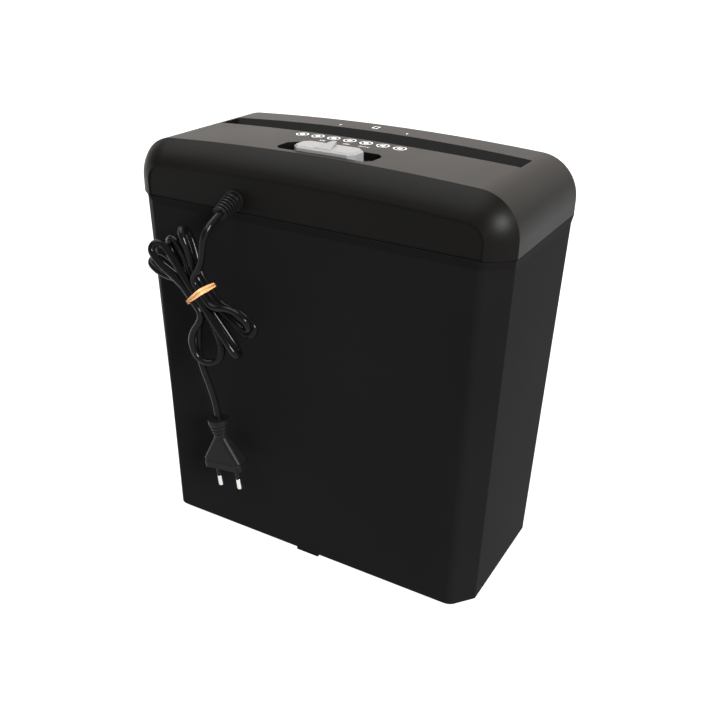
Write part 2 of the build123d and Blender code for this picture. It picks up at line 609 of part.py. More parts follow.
def tie_rod_places():
    """Centres of the four tie rods as Y and Z."""
    return [(FEED_Y + a * TIE_ROD_Y, CUTTER_Z + b * TIE_ROD_Z) for a in (-1, 1) for b in (-1, 1)]


def plate(x, back_y):
    """Steel side plate that carries the shafts; its lower edge stands on the tub floor."""
    front_y = FEED_Y - PLATE_REACH
    outline = block(x, x + PLATE_THICKNESS, front_y, back_y, TUB_FLOOR_Z, PLATE_TOP_Z)
    for y in (FRONT_Y, REAR_Y):
        outline -= rod(BUSH_RADIUS, x, x + PLATE_THICKNESS, y, CUTTER_Z)
    for y, z in tie_rod_places():
        outline -= rod(FRAME_SCREW_RADIUS, x, x + PLATE_THICKNESS, y, z)
    return outline


def gear_side_plate():
    """Plate on the drive side, carried back to hold the motor and the gear axle."""
    x1 = PLATE_OUT_X
    y, z = compound_centre()
    sheet = plate(PLATE_X, MOTOR_Y + MOTOR_RADIUS - LAYER_GAP)
    sheet -= rod(GEAR_AXLE_RADIUS, PLATE_X, x1, y, z)
    return sheet - rod(MOTOR_BOSS_RADIUS + SEAT_GAP, PLATE_X, x1, MOTOR_Y, MOTOR_Z)


def tie_rods():
    """Four distance rods between the plates, bored for their screws."""
    rods = []
    for y, z in tie_rod_places():
        bar = rod(TIE_ROD_RADIUS, -PLATE_X, PLATE_X, y, z)
        rods.append(bar - rod(FRAME_SCREW_RADIUS, -PLATE_X, PLATE_X, y, z))
    return Compound(rods)


def frame_screws():
    """Eight pan-head screws, one in each end of a tie rod."""
    screws = []
    for y, z in tie_rod_places():
        for side in (-1, 1):
            x0, x1 = span(side, PLATE_X - FRAME_SCREW_BITE, PLATE_OUT_X)
            shank = rod(FRAME_SCREW_RADIUS, x0, x1, y, z)
            x0, x1 = span(side, PLATE_OUT_X, PLATE_OUT_X + FRAME_SCREW_HEAD)
            screws.append(shank + rod(2 * FRAME_SCREW_RADIUS, x0, x1, y, z))
    return Compound(screws)


def shaft_bushes():
    """Four plain bearings in the side plates."""
    rings = []
    for y in (FRONT_Y, REAR_Y):
        for side in (-1, 1):
            x0, x1 = span(side, PLATE_X, PLATE_OUT_X)
            ring = rod(BUSH_RADIUS, x0, x1, y, CUTTER_Z)
            rings.append(ring - rod(JOURNAL_RADIUS + RUNNING_FIT, x0, x1, y, CUTTER_Z))
    return Compound(rings)


def shaft(y, drive_end):
    """Cutter shaft: six-sided between the plates, round in the bushes, six-sided at the gears."""
    bar = hex_bar(SHAFT_FLATS, -SHAFT_MAIN_HALF, SHAFT_MAIN_HALF, y, CUTTER_Z)
    bar += rod(JOURNAL_RADIUS, -JOURNAL_END, JOURNAL_END, y, CUTTER_Z)
    bar += hex_bar(SHAFT_END_FLATS, -SHAFT_SYNC_END, 0, y, CUTTER_Z)
    if drive_end:
        bar += hex_bar(SHAFT_END_FLATS, 0, drive_end, y, CUTTER_Z)
    return bar


def disc_places(count):
    """Middles of a roll's discs along X, two strips apart."""
    return [2 * STRIP_WIDTH * (i - (count - 1) / 2) for i in range(count)]


def discs(y, count):
    """Cutting discs with a six-sided bore and grip notches round the rim."""
    half = DISC_NOTCH_DEPTH
    notch = make_face(Polyline((DISC_RADIUS - DISC_NOTCH_DEPTH, 0), (DISC_RADIUS + 1, half),
                               (DISC_RADIUS + 1, -half / 3), close=True))
    outline = Circle(DISC_RADIUS) - RegularPolygon(SHAFT_FLATS / sqrt(3), 6)
    for i in range(DISC_NOTCHES):
        outline -= Rot(0, 0, 360 * i / DISC_NOTCHES) * notch
    places = disc_places(count)
    return Compound([extrude(across(x - DISC_THICKNESS / 2, y, CUTTER_Z) * outline, DISC_THICKNESS)
                     for x in places])


def spacers(y, count):
    """Distance rings between the discs and out to the plates."""
    outline = Circle(SPACER_RADIUS) - RegularPolygon(SHAFT_FLATS / sqrt(3), 6)
    edges = [-SHAFT_MAIN_HALF]
    for x in disc_places(count):
        edges += [x - DISC_THICKNESS / 2, x + DISC_THICKNESS / 2]
    edges.append(SHAFT_MAIN_HALF)
    return Compound([extrude(across(a, y, CUTTER_Z) * outline, b - a) for a, b in zip(edges[::2], edges[1::2])])


def comb(side, count):
    """Stripper comb: a bar between the plates with fingers that reach between a roll's discs."""
    roll_y = FEED_Y + side * CUTTER_SPACING / 2
    bar_y = FEED_Y + side * COMB_REACH
    y0, y1 = sorted((bar_y, bar_y + side * COMB_BAR))
    bar = block(-PLATE_X, PLATE_X, y0, y1, CUTTER_Z - COMB_BAR_HEIGHT / 2, CUTTER_Z + COMB_BAR_HEIGHT / 2)
    y0, y1 = sorted((bar_y, roll_y + side * (SPACER_RADIUS + DISC_CLEARANCE)))
    half = STRIP_WIDTH - DISC_THICKNESS / 2 - COMB_SIDE_GAP
    places = disc_places(count)
    for a, b in zip(places, places[1:]):
        x = (a + b) / 2
        bar += block(x - half, x + half, y0, y1, CUTTER_Z - COMB_FINGER_HEIGHT / 2,
                     CUTTER_Z + COMB_FINGER_HEIGHT / 2)
    return bar


def involute(angle):
    """Involute function of a pressure angle in radians."""
    return tan(angle) - angle


def gear_outline(module, teeth, phase):
    """Tooth outline of a spur gear with backlash; phase is the angle of one tooth in degrees."""
    pitch = module * teeth / 2
    base = pitch * cos(radians(PRESSURE_ANGLE))
    tip = pitch + ADDENDUM * module
    root = pitch - DEDENDUM * module
    half = pi / (2 * teeth) - BACKLASH / (4 * pitch) + involute(radians(PRESSURE_ANGLE))
    start = max(base, root)
    levels = [root] + [start + (tip - start) * t for t in (0, 0.5, 1)]
    flank = [(r, half - involute(acos(min(1, base / r))) if r > base else half) for r in levels]
    if root >= base:
        flank = flank[1:]
    points = []
    for i in range(teeth):
        middle = radians(phase) + 2 * pi * i / teeth
        for r, a in flank:
            points.append((r * cos(middle - a), r * sin(middle - a)))
        for r, a in reversed(flank):
            points.append((r * cos(middle + a), r * sin(middle + a)))
    return make_face(Polyline(*points, close=True))


def meshing_phase(teeth_a, phase_a, centre_a, teeth_b, centre_b):
    """Phase of gear b that puts one of its gaps on a tooth of gear a."""
    way = degrees(atan2(centre_b[1] - centre_a[1], centre_b[0] - centre_a[0]))
    step_a = 360 / teeth_a
    step_b = 360 / teeth_b
    share = (phase_a - way) / step_a
    share -= floor(share)
    return way + 180 + step_b * (0.5 - share)


def compound_centre():
    """Y and Z of the compound gear's axle: one mesh distance from the rear shaft and one from the motor."""
    far = FINAL_MODULE * (FINAL_TEETH + FINAL_PINION_TEETH) / 2
    near = FIRST_MODULE * (FIRST_TEETH + FIRST_PINION_TEETH) / 2
    dy = MOTOR_Y - REAR_Y
    dz = MOTOR_Z - CUTTER_Z
    gap = sqrt(dy ** 2 + dz ** 2)
    along = (far ** 2 - near ** 2 + gap ** 2) / (2 * gap)
    up = sqrt(far ** 2 - along ** 2)
    return (REAR_Y + (along * dy - up * dz) / gap, CUTTER_Z + (along * dz + up * dy) / gap)


def sync_gear(y, phase):
    """One of the two equal gears that turn the rolls against each other."""
    outline = gear_outline(SYNC_MODULE, SYNC_TEETH, phase) - RegularPolygon(SHAFT_END_FLATS / sqrt(3), 6)
    return extrude(across(-SYNC_X - SYNC_FACE, y, CUTTER_Z) * outline, SYNC_FACE)


def final_gear():
    """Large gear on the rear shaft, with a hub towards the plate and four lightening holes."""
    bore = RegularPolygon(SHAFT_END_FLATS / sqrt(3), 6)
    outline = gear_outline(FINAL_MODULE, FINAL_TEETH, 0) - bore
    hub_radius = SHAFT_END_FLATS
    web_radius = (hub_radius + FINAL_MODULE * (FINAL_TEETH / 2 - 3)) / 2
    outline -= PolarLocations(web_radius, 4) * Circle(web_radius / 4)
    wheel = extrude(across(FINAL_X, REAR_Y, CUTTER_Z) * outline, FINAL_FACE)
    hub = Circle(hub_radius) - bore
    return wheel + extrude(across(JOURNAL_END + LAYER_GAP, REAR_Y, CUTTER_Z) * hub,
                           FINAL_X - JOURNAL_END - LAYER_GAP)


def compound_gear():
    """Moulded double gear: the wheel that the motor turns and the pinion that drives the final gear."""
    y, z = compound_centre()
    bore = Circle(GEAR_AXLE_RADIUS + RUNNING_FIT)
    pinion_phase = meshing_phase(FINAL_TEETH, 0, (REAR_Y, CUTTER_Z), FINAL_PINION_TEETH, (y, z))
    wheel = gear_outline(FIRST_MODULE, FIRST_TEETH, 0) - bore
    pinion = gear_outline(FINAL_MODULE, FINAL_PINION_TEETH, pinion_phase) - bore
    gear = extrude(across(FIRST_X, y, z) * wheel, FIRST_FACE)
    pinion_x = FIRST_X + FIRST_FACE
    return gear + extrude(across(pinion_x, y, z) * pinion, FINAL_X + FINAL_FACE - pinion_x)


def gear_axle():
    """Fixed axle of the compound gear, with a shoulder at the plate and a head outside."""
    y, z = compound_centre()
    end = FINAL_X + FINAL_FACE + SLIDING_GAP
    axle = rod(GEAR_AXLE_RADIUS, PLATE_X, end, y, z)
    wide = GEAR_AXLE_RADIUS + GEAR_AXLE_SHOULDER
    axle += rod(wide, PLATE_OUT_X, FIRST_X - SLIDING_GAP, y, z)
    return axle + rod(wide, end, end + CLIP_THICKNESS, y, z)


def motor_pinion():
    """Brass pinion pressed on the motor shaft."""
    phase = meshing_phase(FIRST_TEETH, 0, compound_centre(), FIRST_PINION_TEETH, (MOTOR_Y, MOTOR_Z))
    outline = gear_outline(FIRST_MODULE, FIRST_PINION_TEETH, phase) - Circle(MOTOR_SHAFT_RADIUS)
    return extrude(across(FIRST_X, MOTOR_Y, MOTOR_Z) * outline, FIRST_FACE)


def motor_shaft():
    """Motor shaft from inside the front bearing to the pinion's outer face."""
    return rod(MOTOR_SHAFT_RADIUS, PLATE_X - MOTOR_SHAFT_SEAT, FIRST_X + FIRST_FACE + LAYER_GAP, MOTOR_Y, MOTOR_Z)


def motor():
    """Motor can against the plate, its front boss in the plate, a rear cap and two terminals."""
    x0 = PLATE_X - MOTOR_LENGTH
    can = rod(MOTOR_RADIUS, x0, PLATE_X, MOTOR_Y, MOTOR_Z)
    can += rod(MOTOR_BOSS_RADIUS, PLATE_X, PLATE_OUT_X, MOTOR_Y, MOTOR_Z)
    cap_x = x0 - MOTOR_CAP_LENGTH
    can += rod(MOTOR_CAP_RADIUS, cap_x, x0, MOTOR_Y, MOTOR_Z)
    half_y = TERMINAL_WIDTH / 2
    half_z = TERMINAL_THICKNESS / 2
    for z in (MOTOR_Z - MOTOR_TERMINAL_OFFSET, MOTOR_Z + MOTOR_TERMINAL_OFFSET):
        can += block(cap_x - TERMINAL_LENGTH, cap_x, MOTOR_Y - half_y, MOTOR_Y + half_y, z - half_z, z + half_z)
    bore_end = PLATE_X - MOTOR_SHAFT_SEAT - SLIDING_GAP
    return can - rod(MOTOR_SHAFT_RADIUS + RUNNING_FIT, bore_end, PLATE_OUT_X, MOTOR_Y, MOTOR_Z)


def clip(x, y):
    """Retaining ring on a six-sided shaft end."""
    outline = Circle(CLIP_RADIUS) - RegularPolygon(SHAFT_END_FLATS / sqrt(3), 6)
    return extrude(across(x, y, CUTTER_Z) * outline, CLIP_THICKNESS)


def board_corners():
    """Centres of the four posts under the circuit board."""
    x0 = BOARD_X0 + BOARD_POST_INSET
    x1 = BOARD_X0 + BOARD_LENGTH - BOARD_POST_INSET
    y0 = BOARD_Y0 + BOARD_POST_INSET
    y1 = BOARD_Y0 + BOARD_WIDTH - BOARD_POST_INSET
    return [(x, y) for x in (x0, x1) for y in (y0, y1)]


def control_board():
    """Circuit board on its four posts."""
    return block(BOARD_X0, BOARD_X0 + BOARD_LENGTH, BOARD_Y0, BOARD_Y0 + BOARD_WIDTH,
                 BOARD_Z, BOARD_Z + BOARD_THICKNESS)


def board_parts():
    """Relay, film capacitor, two upright capacitors and a terminal block on the board."""
    z = BOARD_Z + BOARD_THICKNESS
    parts = []
    for dx, dy, length, width, height in (RELAY, FILM_CAPACITOR, TERMINAL_BLOCK):
        x = BOARD_X0 + dx
        y = BOARD_Y0 + dy
        parts.append(block(x, x + length, y, y + width, z, z + height))
    for dx, dy in CAPACITOR_PLACES:
        parts.append(post(CAPACITOR_RADIUS, BOARD_X0 + dx, BOARD_Y0 + dy, z, z + CAPACITOR_HEIGHT))
    return Compound(parts)


def sensor_lever():
    """Lever on a pin behind the throat whose finger lies across the paper's way."""
    half = SENSOR_WIDTH / 2
    lever = rod(SENSOR_HUB_RADIUS, -half, half, SENSOR_Y, SENSOR_Z)
    lever += block(-half, half, SENSOR_Y - SENSOR_REACH, SENSOR_Y, SENSOR_Z - SENSOR_ARM / 2,
                   SENSOR_Z + SENSOR_ARM / 2)
    return lever - rod(SENSOR_PIN_RADIUS + RUNNING_FIT, -half, half, SENSOR_Y, SENSOR_Z)


def sensor_pin():
    """Pin through the two ears behind the throat."""
    half = SENSOR_WIDTH / 2 + SLIDING_GAP + SENSOR_EAR
    return rod(SENSOR_PIN_RADIUS, -half, half, SENSOR_Y, SENSOR_Z)


def paper_sensor():
    """Small switch block on the back of the throat, beside the lever."""
    x0 = SENSOR_WIDTH / 2 + SENSOR_EAR + LAYER_GAP
    z0 = SENSOR_Z - SENSOR_BODY_HEIGHT / 2
    return block(x0, x0 + SENSOR_BODY_LENGTH, THROAT_BACK_Y, THROAT_BACK_Y + SENSOR_BODY_DEPTH,
                 z0, z0 + SENSOR_BODY_HEIGHT)


def interlock_plunger():
    """Pin that stands on the bin's ledge and is pushed up into the cut-out switch."""
    pin = post(PLUNGER_RADIUS, INTERLOCK_X, INTERLOCK_Y, RIM_Z, RIM_Z + PLUNGER_HEIGHT)
    collar_z = FLANGE_TOP_Z + PLUNGER_TRAVEL + SLIDING_GAP
    return pin + post(PLUNGER_COLLAR_RADIUS, INTERLOCK_X, INTERLOCK_Y, collar_z, collar_z + PLUNGER_COLLAR_HEIGHT)


def interlock_switch():
    """Cut-out switch on its two posts over the plunger."""
    x0 = INTERLOCK_X - PLUNGER_RADIUS + SLIDING_GAP
    half = INTERLOCK_SWITCH_LENGTH / 2
    return block(x0, x0 + INTERLOCK_SWITCH_WIDTH, INTERLOCK_Y - half, INTERLOCK_Y + half,
                 INTERLOCK_Z, INTERLOCK_Z + INTERLOCK_SWITCH_HEIGHT)


def from_grommet(offset):
    """Point at an offset from the grommet's middle on the back panel."""
    return Vector(LEAD_X, PANEL_OUT_Y, LEAD_Z) + Vector(offset)


def boot_frame():
    """Frame at the root of the cord boot, its z along the drooping boot."""
    droop = radians(BOOT_DROOP)
    start = (LEAD_X, PANEL_OUT_Y + GROMMET_FLANGE, LEAD_Z)
    return Plane(origin=start, x_dir=(1, 0, 0), z_dir=(0, cos(droop), -sin(droop)))


def boot_end():
    """Middle of the boot's outer end, where the lead comes out."""
    frame = boot_frame()
    return frame.origin + frame.z_dir * BOOT_LENGTH


def strain_relief():
    """Grommet that snaps into the back panel, with a drooping boot of tapering ribs."""
    pitch = BOOT_LENGTH / BOOT_RIBS
    points = [(0, -GROMMET_FLANGE / 2)]
    for i in range(BOOT_RIBS):
        share = i / (BOOT_RIBS - 1)
        core = BOOT_CORE_RADIUS - share * BOOT_CORE_TAPER
        rib = BOOT_RIB_RADIUS - share * BOOT_RIB_TAPER
        z = i * pitch
        points += [(core, z if i else -GROMMET_FLANGE / 2), (core, z + BOOT_RIB_START * pitch)]
        points += [(rib, z + (BOOT_RIB_START + BOOT_RIB_SLOPE) * pitch), (rib, z + BOOT_RIB_END * pitch)]
        points += [(core, z + pitch)]
    points.append((0, BOOT_LENGTH))
    profile = make_face(Plane.XZ * Polyline(*points, close=True))
    boot = boot_frame() * revolve(profile, Axis.Z)

    def ring(radius, y0, y1):
        return Pos(LEAD_X, (y0 + y1) / 2, LEAD_Z) * Rot(90, 0, 0) * Cylinder(radius, y1 - y0)

    inner = ring(GROMMET_HOLE_RADIUS, PANEL_IN_Y - GROMMET_COLLAR, PANEL_OUT_Y)
    inner += ring(GROMMET_HOLE_RADIUS + GROMMET_SNAP, PANEL_IN_Y - GROMMET_COLLAR, PANEL_IN_Y)
    flange = ring(GROMMET_FLANGE_RADIUS, PANEL_OUT_Y, PANEL_OUT_Y + GROMMET_FLANGE)
    return inner + flange + (boot - block(-HEAD_WIDTH, HEAD_WIDTH, 0, PANEL_OUT_Y, 0, TOP_Z))


def cord_tube(name, points):
    """Round cord along straight runs joined by arcs as large as the runs allow."""
    points = [Vector(p) for p in points]
    radii = []
    for a, b, c in zip(points, points[1:], points[2:]):
        turn = radians((b - a).get_angle(c - b))
        radii.append(0.45 * min((b - a).length, (c - b).length) / tan(turn / 2))
    path = FilletPolyline(*points, radius=radii)
    section = Plane(origin=points[0], z_dir=points[1] - points[0]) * Circle(CORD_DIAMETER / 2)
    tube = sweep(section, path=path)
    print(name, "arc radii", [round(r, 1) for r in radii])
    report_tube(name, tube, path.length)
    return tube


def report_tube(name, tube, length):
    """Print a tube's length and how its volume compares with its section times its length."""
    expected = pi * CORD_DIAMETER ** 2 / 4 * length
    print(name, "length", round(length, 1), "volume ratio", round(tube.volume / expected, 4))


def hank_slot(i):
    """Place of pass i at the waist: sideways, and out from the wall. Odd passes lie in the inner layer."""
    layer = -1 if i % 2 else 1
    return ((i - len(LOWER_LOOPS)) / 2 * HANK_STEP, layer * HANK_STEP / 2)


def hank_knots():
    """Points of the hank with the way it runs there: down one pass, round a lower loop, up, round an upper."""
    lean = radians(HANK_LEAN)
    up = Vector(sin(lean), 0, cos(lean))
    side = Vector(cos(lean), 0, -sin(lean))
    out = Vector(0, 1, 0)

    def waist(i, along):
        v, w = hank_slot(i)
        return from_grommet(HANK_WAIST) + up * along + side * v + out * w

    def loop(i, form, below):
        angle, reach, radius, tilt = form
        angle = radians(angle)
        tilt = radians(tilt)
        way = Vector(sin(angle), 0, cos(angle)) * (-1 if below else 1)
        cross = out * cos(tilt) + Vector(cos(angle), 0, -sin(angle)) * sin(tilt)
        first = cross if below else cross * -1
        root = (waist(i, 0) + waist(i + 1, 0)) * 0.5
        turn = root + way * (reach - radius)
        return [(turn + first * radius, way), (turn + way * radius, first * -1), (turn - first * radius, way * -1)]

    half = HANK_WAIST_HALF
    start_way = Vector(HANK_START_WAY).normalized()
    end_way = Vector(HANK_END_WAY).normalized()
    start = from_grommet(HANK_START)
    end = from_grommet(HANK_END)
    knots = [(start - start_way * CORD_DIAMETER, start_way), (start, start_way)]
    for k, (lower, upper) in enumerate(zip(LOWER_LOOPS, UPPER_LOOPS)):
        i = 2 * k
        knots += [(waist(i, half), up * -1), (waist(i, -half), up * -1)]
        knots += loop(i, lower, True)
        knots += [(waist(i + 1, -half), up), (waist(i + 1, half), up)]
        knots += loop(i + 1, upper, False)
    i = 2 * len(LOWER_LOOPS)
    knots += [(waist(i, half), up * -1), (waist(i, -half), up * -1)]
    knots += [(end, end_way), (end + end_way * CORD_DIAMETER, end_way)]
    return knots


def tangent_edge(start, way, end):
    """Line or arc from start, leaving along way, to end."""
    chord = end - start
    if way.cross(chord).length < 1e-6 * chord.length:
        return Line(start, end)
    return TangentArc(start, end, tangent=way)


def biarc(start, start_way, end, end_way):
    """Two arcs that join two points with given ways."""
    chord = end - start
    ways = start_way + end_way
    spread = 2 * (1 - start_way.dot(end_way))
    if spread < 1e-9:
        pull = chord.dot(chord) / (4 * chord.dot(end_way))
    else:
        along = chord.dot(ways)
        pull = (sqrt(along ** 2 + spread * chord.dot(chord)) - along) / spread
    near = start + start_way * pull
    far = end - end_way * pull
    middle = (near + far) * 0.5
    if start_way.cross(chord).length < 1e-6 * chord.length:
        return [Line(start, end)]
    return [tangent_edge(start, start_way, middle), tangent_edge(middle, (far - near).normalized(), end)]


def least_gap(edges, step=1.5, skip=14.0):
    """Least gap between stretches of the cord that lie apart along its length."""
    points = []
    run = 0.0
    for edge in edges:
        count = max(2, int(edge.length / step))
        points += [(run + edge.length * j / count, edge @ (j / count)) for j in range(count)]
        run += edge.length
    least = run
    for a, (s, p) in enumerate(points):
        for t, q in points[a + 1:]:
            if t - s > skip:
                least = min(least, (p - q).length)
    return least - CORD_DIAMETER


def cord_hank():
    """Tied hank of the mains lead: one unbroken tube through all its loops."""
    knots = hank_knots()
    edges = []
    for (start, start_way), (end, end_way) in zip(knots, knots[1:]):
        edges += biarc(start, start_way, end, end_way)
    path = Wire([edge.edges()[0] for edge in edges])
    section = Plane(origin=knots[0][0], z_dir=knots[0][1]) * Circle(CORD_DIAMETER / 2)
    tube = sweep(section, path=path)
    print("cord_hank least gap to itself", round(least_gap(edges), 2))
    report_tube("cord_hank", tube, path.length)
    return tube


def cord_lead():
    """Lead from the boot to the hank."""
    start = boot_end()
    end, way = hank_knots()[0]
    route = [start, start + boot_frame().z_dir * LEAD_FIRST_RUN]
    route += [from_grommet(p) for p in LEAD_ROUTE]
    return cord_tube("cord_lead", route + [end - way * LEAD_LAST_RUN, end])


def cord_tail():
    """Lead from the hank down to the plug."""
    start, way = hank_knots()[-1]
    plug = plug_frame()
    route = [start, start + way * TAIL_END_RUN]
    route += [from_grommet(p) for p in TAIL_ROUTE]
    return cord_tube("cord_tail", route + [plug.origin - plug.z_dir * TAIL_END_RUN, plug.origin])


def cord_tie():
    """Rubber band round the waist of the hank."""
    lean = radians(HANK_LEAN)
    up = Vector(sin(lean), 0, cos(lean))
    across_waist = Vector(cos(lean), 0, -sin(lean))
    frame = Plane(origin=from_grommet(HANK_WAIST) - up * TIE_WIDTH / 2, x_dir=across_waist, z_dir=up)
    width = len(LOWER_LOOPS) * HANK_STEP + CORD_DIAMETER + 2 * TIE_GAP
    depth = HANK_STEP + CORD_DIAMETER + 2 * TIE_GAP
    corner = CORD_DIAMETER / 2 + TIE_GAP
    grow = 2 * TIE_THICKNESS
    ring = RectangleRounded(width + grow, depth + grow, corner + TIE_THICKNESS)
    ring -= RectangleRounded(width, depth, corner)
    return extrude(frame * ring, TIE_WIDTH)


def plug_frame():
    """Frame at the top of the plug, its z along the plug towards the pins, its x along the pin row."""
    lean = radians(PLUG_LEAN)
    top = from_grommet(PLUG_TOP)
    return Plane(origin=top, x_dir=(-cos(lean), 0, sin(lean)), z_dir=(-sin(lean), 0, -cos(lean)))


def plug_body():
    """Flat plug: round collar, ringed neck, body that widens to the pin face with a seam, and pin sleeves."""
    stations = [(0, PLUG_COLLAR, 0), (COLLAR_END, PLUG_COLLAR, 0)]
    for i in range(PLUG_RINGS):
        for step, cut in ((-0.3, 0), (-0.1, RING_DEPTH), (0.1, RING_DEPTH), (0.3, 0)):
            share = RING_START + (i + step) * RING_PITCH
            part = (share - COLLAR_END) / (NECK_START - COLLAR_END)
            stations.append((share, [a + part * (b - a) for a, b in zip(PLUG_COLLAR, PLUG_NECK)], cut))
    face = (PLUG_WIDTH, PLUG_THICKNESS, PLUG_CORNER)
    seam = SEAM_WIDTH / PLUG_LENGTH
    stations += [(NECK_START, PLUG_NECK, 0), (NECK_END, PLUG_NECK, 0), (SEAM_SHARE - seam, face, 0),
                 (SEAM_SHARE - seam / 2, face, SEAM_DEPTH), (SEAM_SHARE + seam / 2, face, SEAM_DEPTH),
                 (SEAM_SHARE + seam, face, 0), (1, face, 0)]
    sections = [Pos(0, 0, share * PLUG_LENGTH) * RectangleRounded(width - 2 * cut, depth - 2 * cut, corner - cut)
                for share, (width, depth, corner), cut in stations]
    body = loft(sections, ruled=True)
    sleeve = Circle(PIN_RADIUS) - Circle(PIN_CORE_RADIUS)
    for side in (-1, 1):
        place = Pos(side * PIN_SPACING / 2, 0, PLUG_LENGTH)
        body += extrude(place * sleeve, PIN_SLEEVE)
    return plug_frame() * body


def plug_pins():
    """Two pins: a thin stem in the sleeve and a full-width rounded tip."""
    pins = []
    tip_z = PLUG_LENGTH + PIN_SLEEVE
    for side in (-1, 1):
        pin = Pos(0, 0, PLUG_LENGTH + PIN_SLEEVE / 2) * Cylinder(PIN_CORE_RADIUS, PIN_SLEEVE)
        tip = Pos(0, 0, (tip_z + PLUG_LENGTH + PIN_LENGTH) / 2) * Cylinder(PIN_RADIUS, PIN_LENGTH - PIN_SLEEVE)
        tip = fillet(tip.edges().sort_by(Axis.Z)[-1], PIN_ROUND)
        pins.append(plug_frame() * (Pos(side * PIN_SPACING / 2, 0, 0) * (pin + tip)))
    return Compound(pins)


def pieces():
    """Every piece under its name."""
    front_count = FRONT_DISC_COUNT
    rear_count = FRONT_DISC_COUNT - 1
    rear_phase = 0
    front_phase = meshing_phase(SYNC_TEETH, rear_phase, (REAR_Y, CUTTER_Z), SYNC_TEETH, (FRONT_Y, CUTTER_Z))
    rear_clips = Compound([clip(-SYNC_X - SYNC_FACE - CLIP_THICKNESS, REAR_Y), clip(FINAL_X + FINAL_FACE, REAR_Y)])
    return {
        "bin": bin_shell(),
        "head_cover": head_cover(),
        "head_base": head_base(),
        "cover_screws": cover_screws(),
        "switch_slider": switch_slider(),
        "slide_switch": slide_switch(),
        "gear_side_plate": gear_side_plate(),
        "far_side_plate": plate(-PLATE_OUT_X, FEED_Y + PLATE_REACH),
        "tie_rods": tie_rods(),
        "frame_screws": frame_screws(),
        "shaft_bushes": shaft_bushes(),
        "front_shaft": shaft(FRONT_Y, 0),
        "rear_shaft": shaft(REAR_Y, SHAFT_DRIVE_END),
        "front_discs": discs(FRONT_Y, front_count),
        "rear_discs": discs(REAR_Y, rear_count),
        "front_spacers": spacers(FRONT_Y, front_count),
        "rear_spacers": spacers(REAR_Y, rear_count),
        "front_comb": comb(-1, front_count),
        "rear_comb": comb(1, rear_count),
        "front_sync_gear": sync_gear(FRONT_Y, front_phase),
        "rear_sync_gear": sync_gear(REAR_Y, rear_phase),
        "front_clip": clip(-SYNC_X - SYNC_FACE - CLIP_THICKNESS, FRONT_Y),
        "rear_clips": rear_clips,
        "final_gear": final_gear(),
        "compound_gear": compound_gear(),
        "gear_axle": gear_axle(),
        "motor_pinion": motor_pinion(),
        "motor_shaft": motor_shaft(),
        "motor": motor(),
        "control_board": control_board(),
        "board_parts": board_parts(),
        "sensor_lever": sensor_lever(),
        "sensor_pin": sensor_pin(),
        "paper_sensor": paper_sensor(),
        "interlock_plunger": interlock_plunger(),
        "interlock_switch": interlock_switch(),
        "strain_relief": strain_relief(),
        "cord_lead": cord_lead(),
        "cord_hank": cord_hank(),
        "cord_tail": cord_tail(),
        "cord_tie": cord_tie(),
        "plug_body": plug_body(),
        "plug_pins": plug_pins(),
    }


for name, piece in pieces().items():
    export_step(piece, f"parts/{name}.step")
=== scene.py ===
# %% [markdown]
# # Dressing a paper shredder
# The solids of the machine come from CAD: a waste bin, a motor head that lifts off it, and a mains lead
# tied in a hank. This lesson gives them their finishes, draws the lead as a soft curve, prints the marks
# on the top and sets up the studio. The CAD's own frame is kept. Blender counts in metres, so lengths that
# are written in millimetres are multiplied by MM before they reach it.

# %% Load the solids
import math

import bpy
import numpy as np
from mathutils import Matrix, Vector


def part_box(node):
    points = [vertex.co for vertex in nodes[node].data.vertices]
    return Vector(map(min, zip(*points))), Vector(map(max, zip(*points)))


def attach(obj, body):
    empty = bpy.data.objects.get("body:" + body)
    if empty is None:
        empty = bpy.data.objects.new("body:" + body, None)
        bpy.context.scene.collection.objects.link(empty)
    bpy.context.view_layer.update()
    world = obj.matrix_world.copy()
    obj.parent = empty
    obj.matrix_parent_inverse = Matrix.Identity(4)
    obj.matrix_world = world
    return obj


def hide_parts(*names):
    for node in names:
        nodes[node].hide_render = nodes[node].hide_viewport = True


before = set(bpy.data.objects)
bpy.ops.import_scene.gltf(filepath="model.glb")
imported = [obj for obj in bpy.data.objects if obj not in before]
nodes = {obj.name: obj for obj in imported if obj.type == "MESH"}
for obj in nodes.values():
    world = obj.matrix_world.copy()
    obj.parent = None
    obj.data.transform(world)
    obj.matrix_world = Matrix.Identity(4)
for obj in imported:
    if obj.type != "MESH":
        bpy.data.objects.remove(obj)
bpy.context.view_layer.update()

MM = 0.001
cover_low, cover_high = (np.array(corner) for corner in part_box("head_cover"))
print("solids:", len(nodes), "head cover from", cover_low.round(4), "to", cover_high.round(4))

# %% [markdown]
# ## The camera
# The machine is seen from behind and a little above, turned so that its back and one end show. A camera
# in Blender looks along its own -Z with +Y up, so its matrix is built from the picture's right, the
# picture's up and the line of sight, all found by fitting the edges of the bin and the head.

# %% Camera
SIGHT = np.array([0.43598, -0.78181, -0.44575])
PICTURE_RIGHT = np.array([-0.86872, -0.49497, 0.01845])
CAMERA_PLACE = np.array([-0.32275, 0.56342, 0.47170])
FOCAL_LENGTH = 45.13
SENSOR_WIDTH = 36.0
NEAREST_SEEN = 0.01

picture_up = np.cross(PICTURE_RIGHT, SIGHT)
camera = bpy.data.objects.new("camera", bpy.data.cameras.new("camera"))
camera.data.lens = FOCAL_LENGTH
camera.data.sensor_width = SENSOR_WIDTH
camera.data.clip_start = NEAREST_SEEN
turn = Matrix(np.column_stack([PICTURE_RIGHT, picture_up, -SIGHT]).tolist()).to_4x4()
camera.matrix_world = Matrix.Translation(CAMERA_PLACE.tolist()) @ turn
bpy.context.scene.collection.objects.link(camera)
bpy.context.scene.camera = camera
print("camera at", CAMERA_PLACE, "lens", FOCAL_LENGTH)

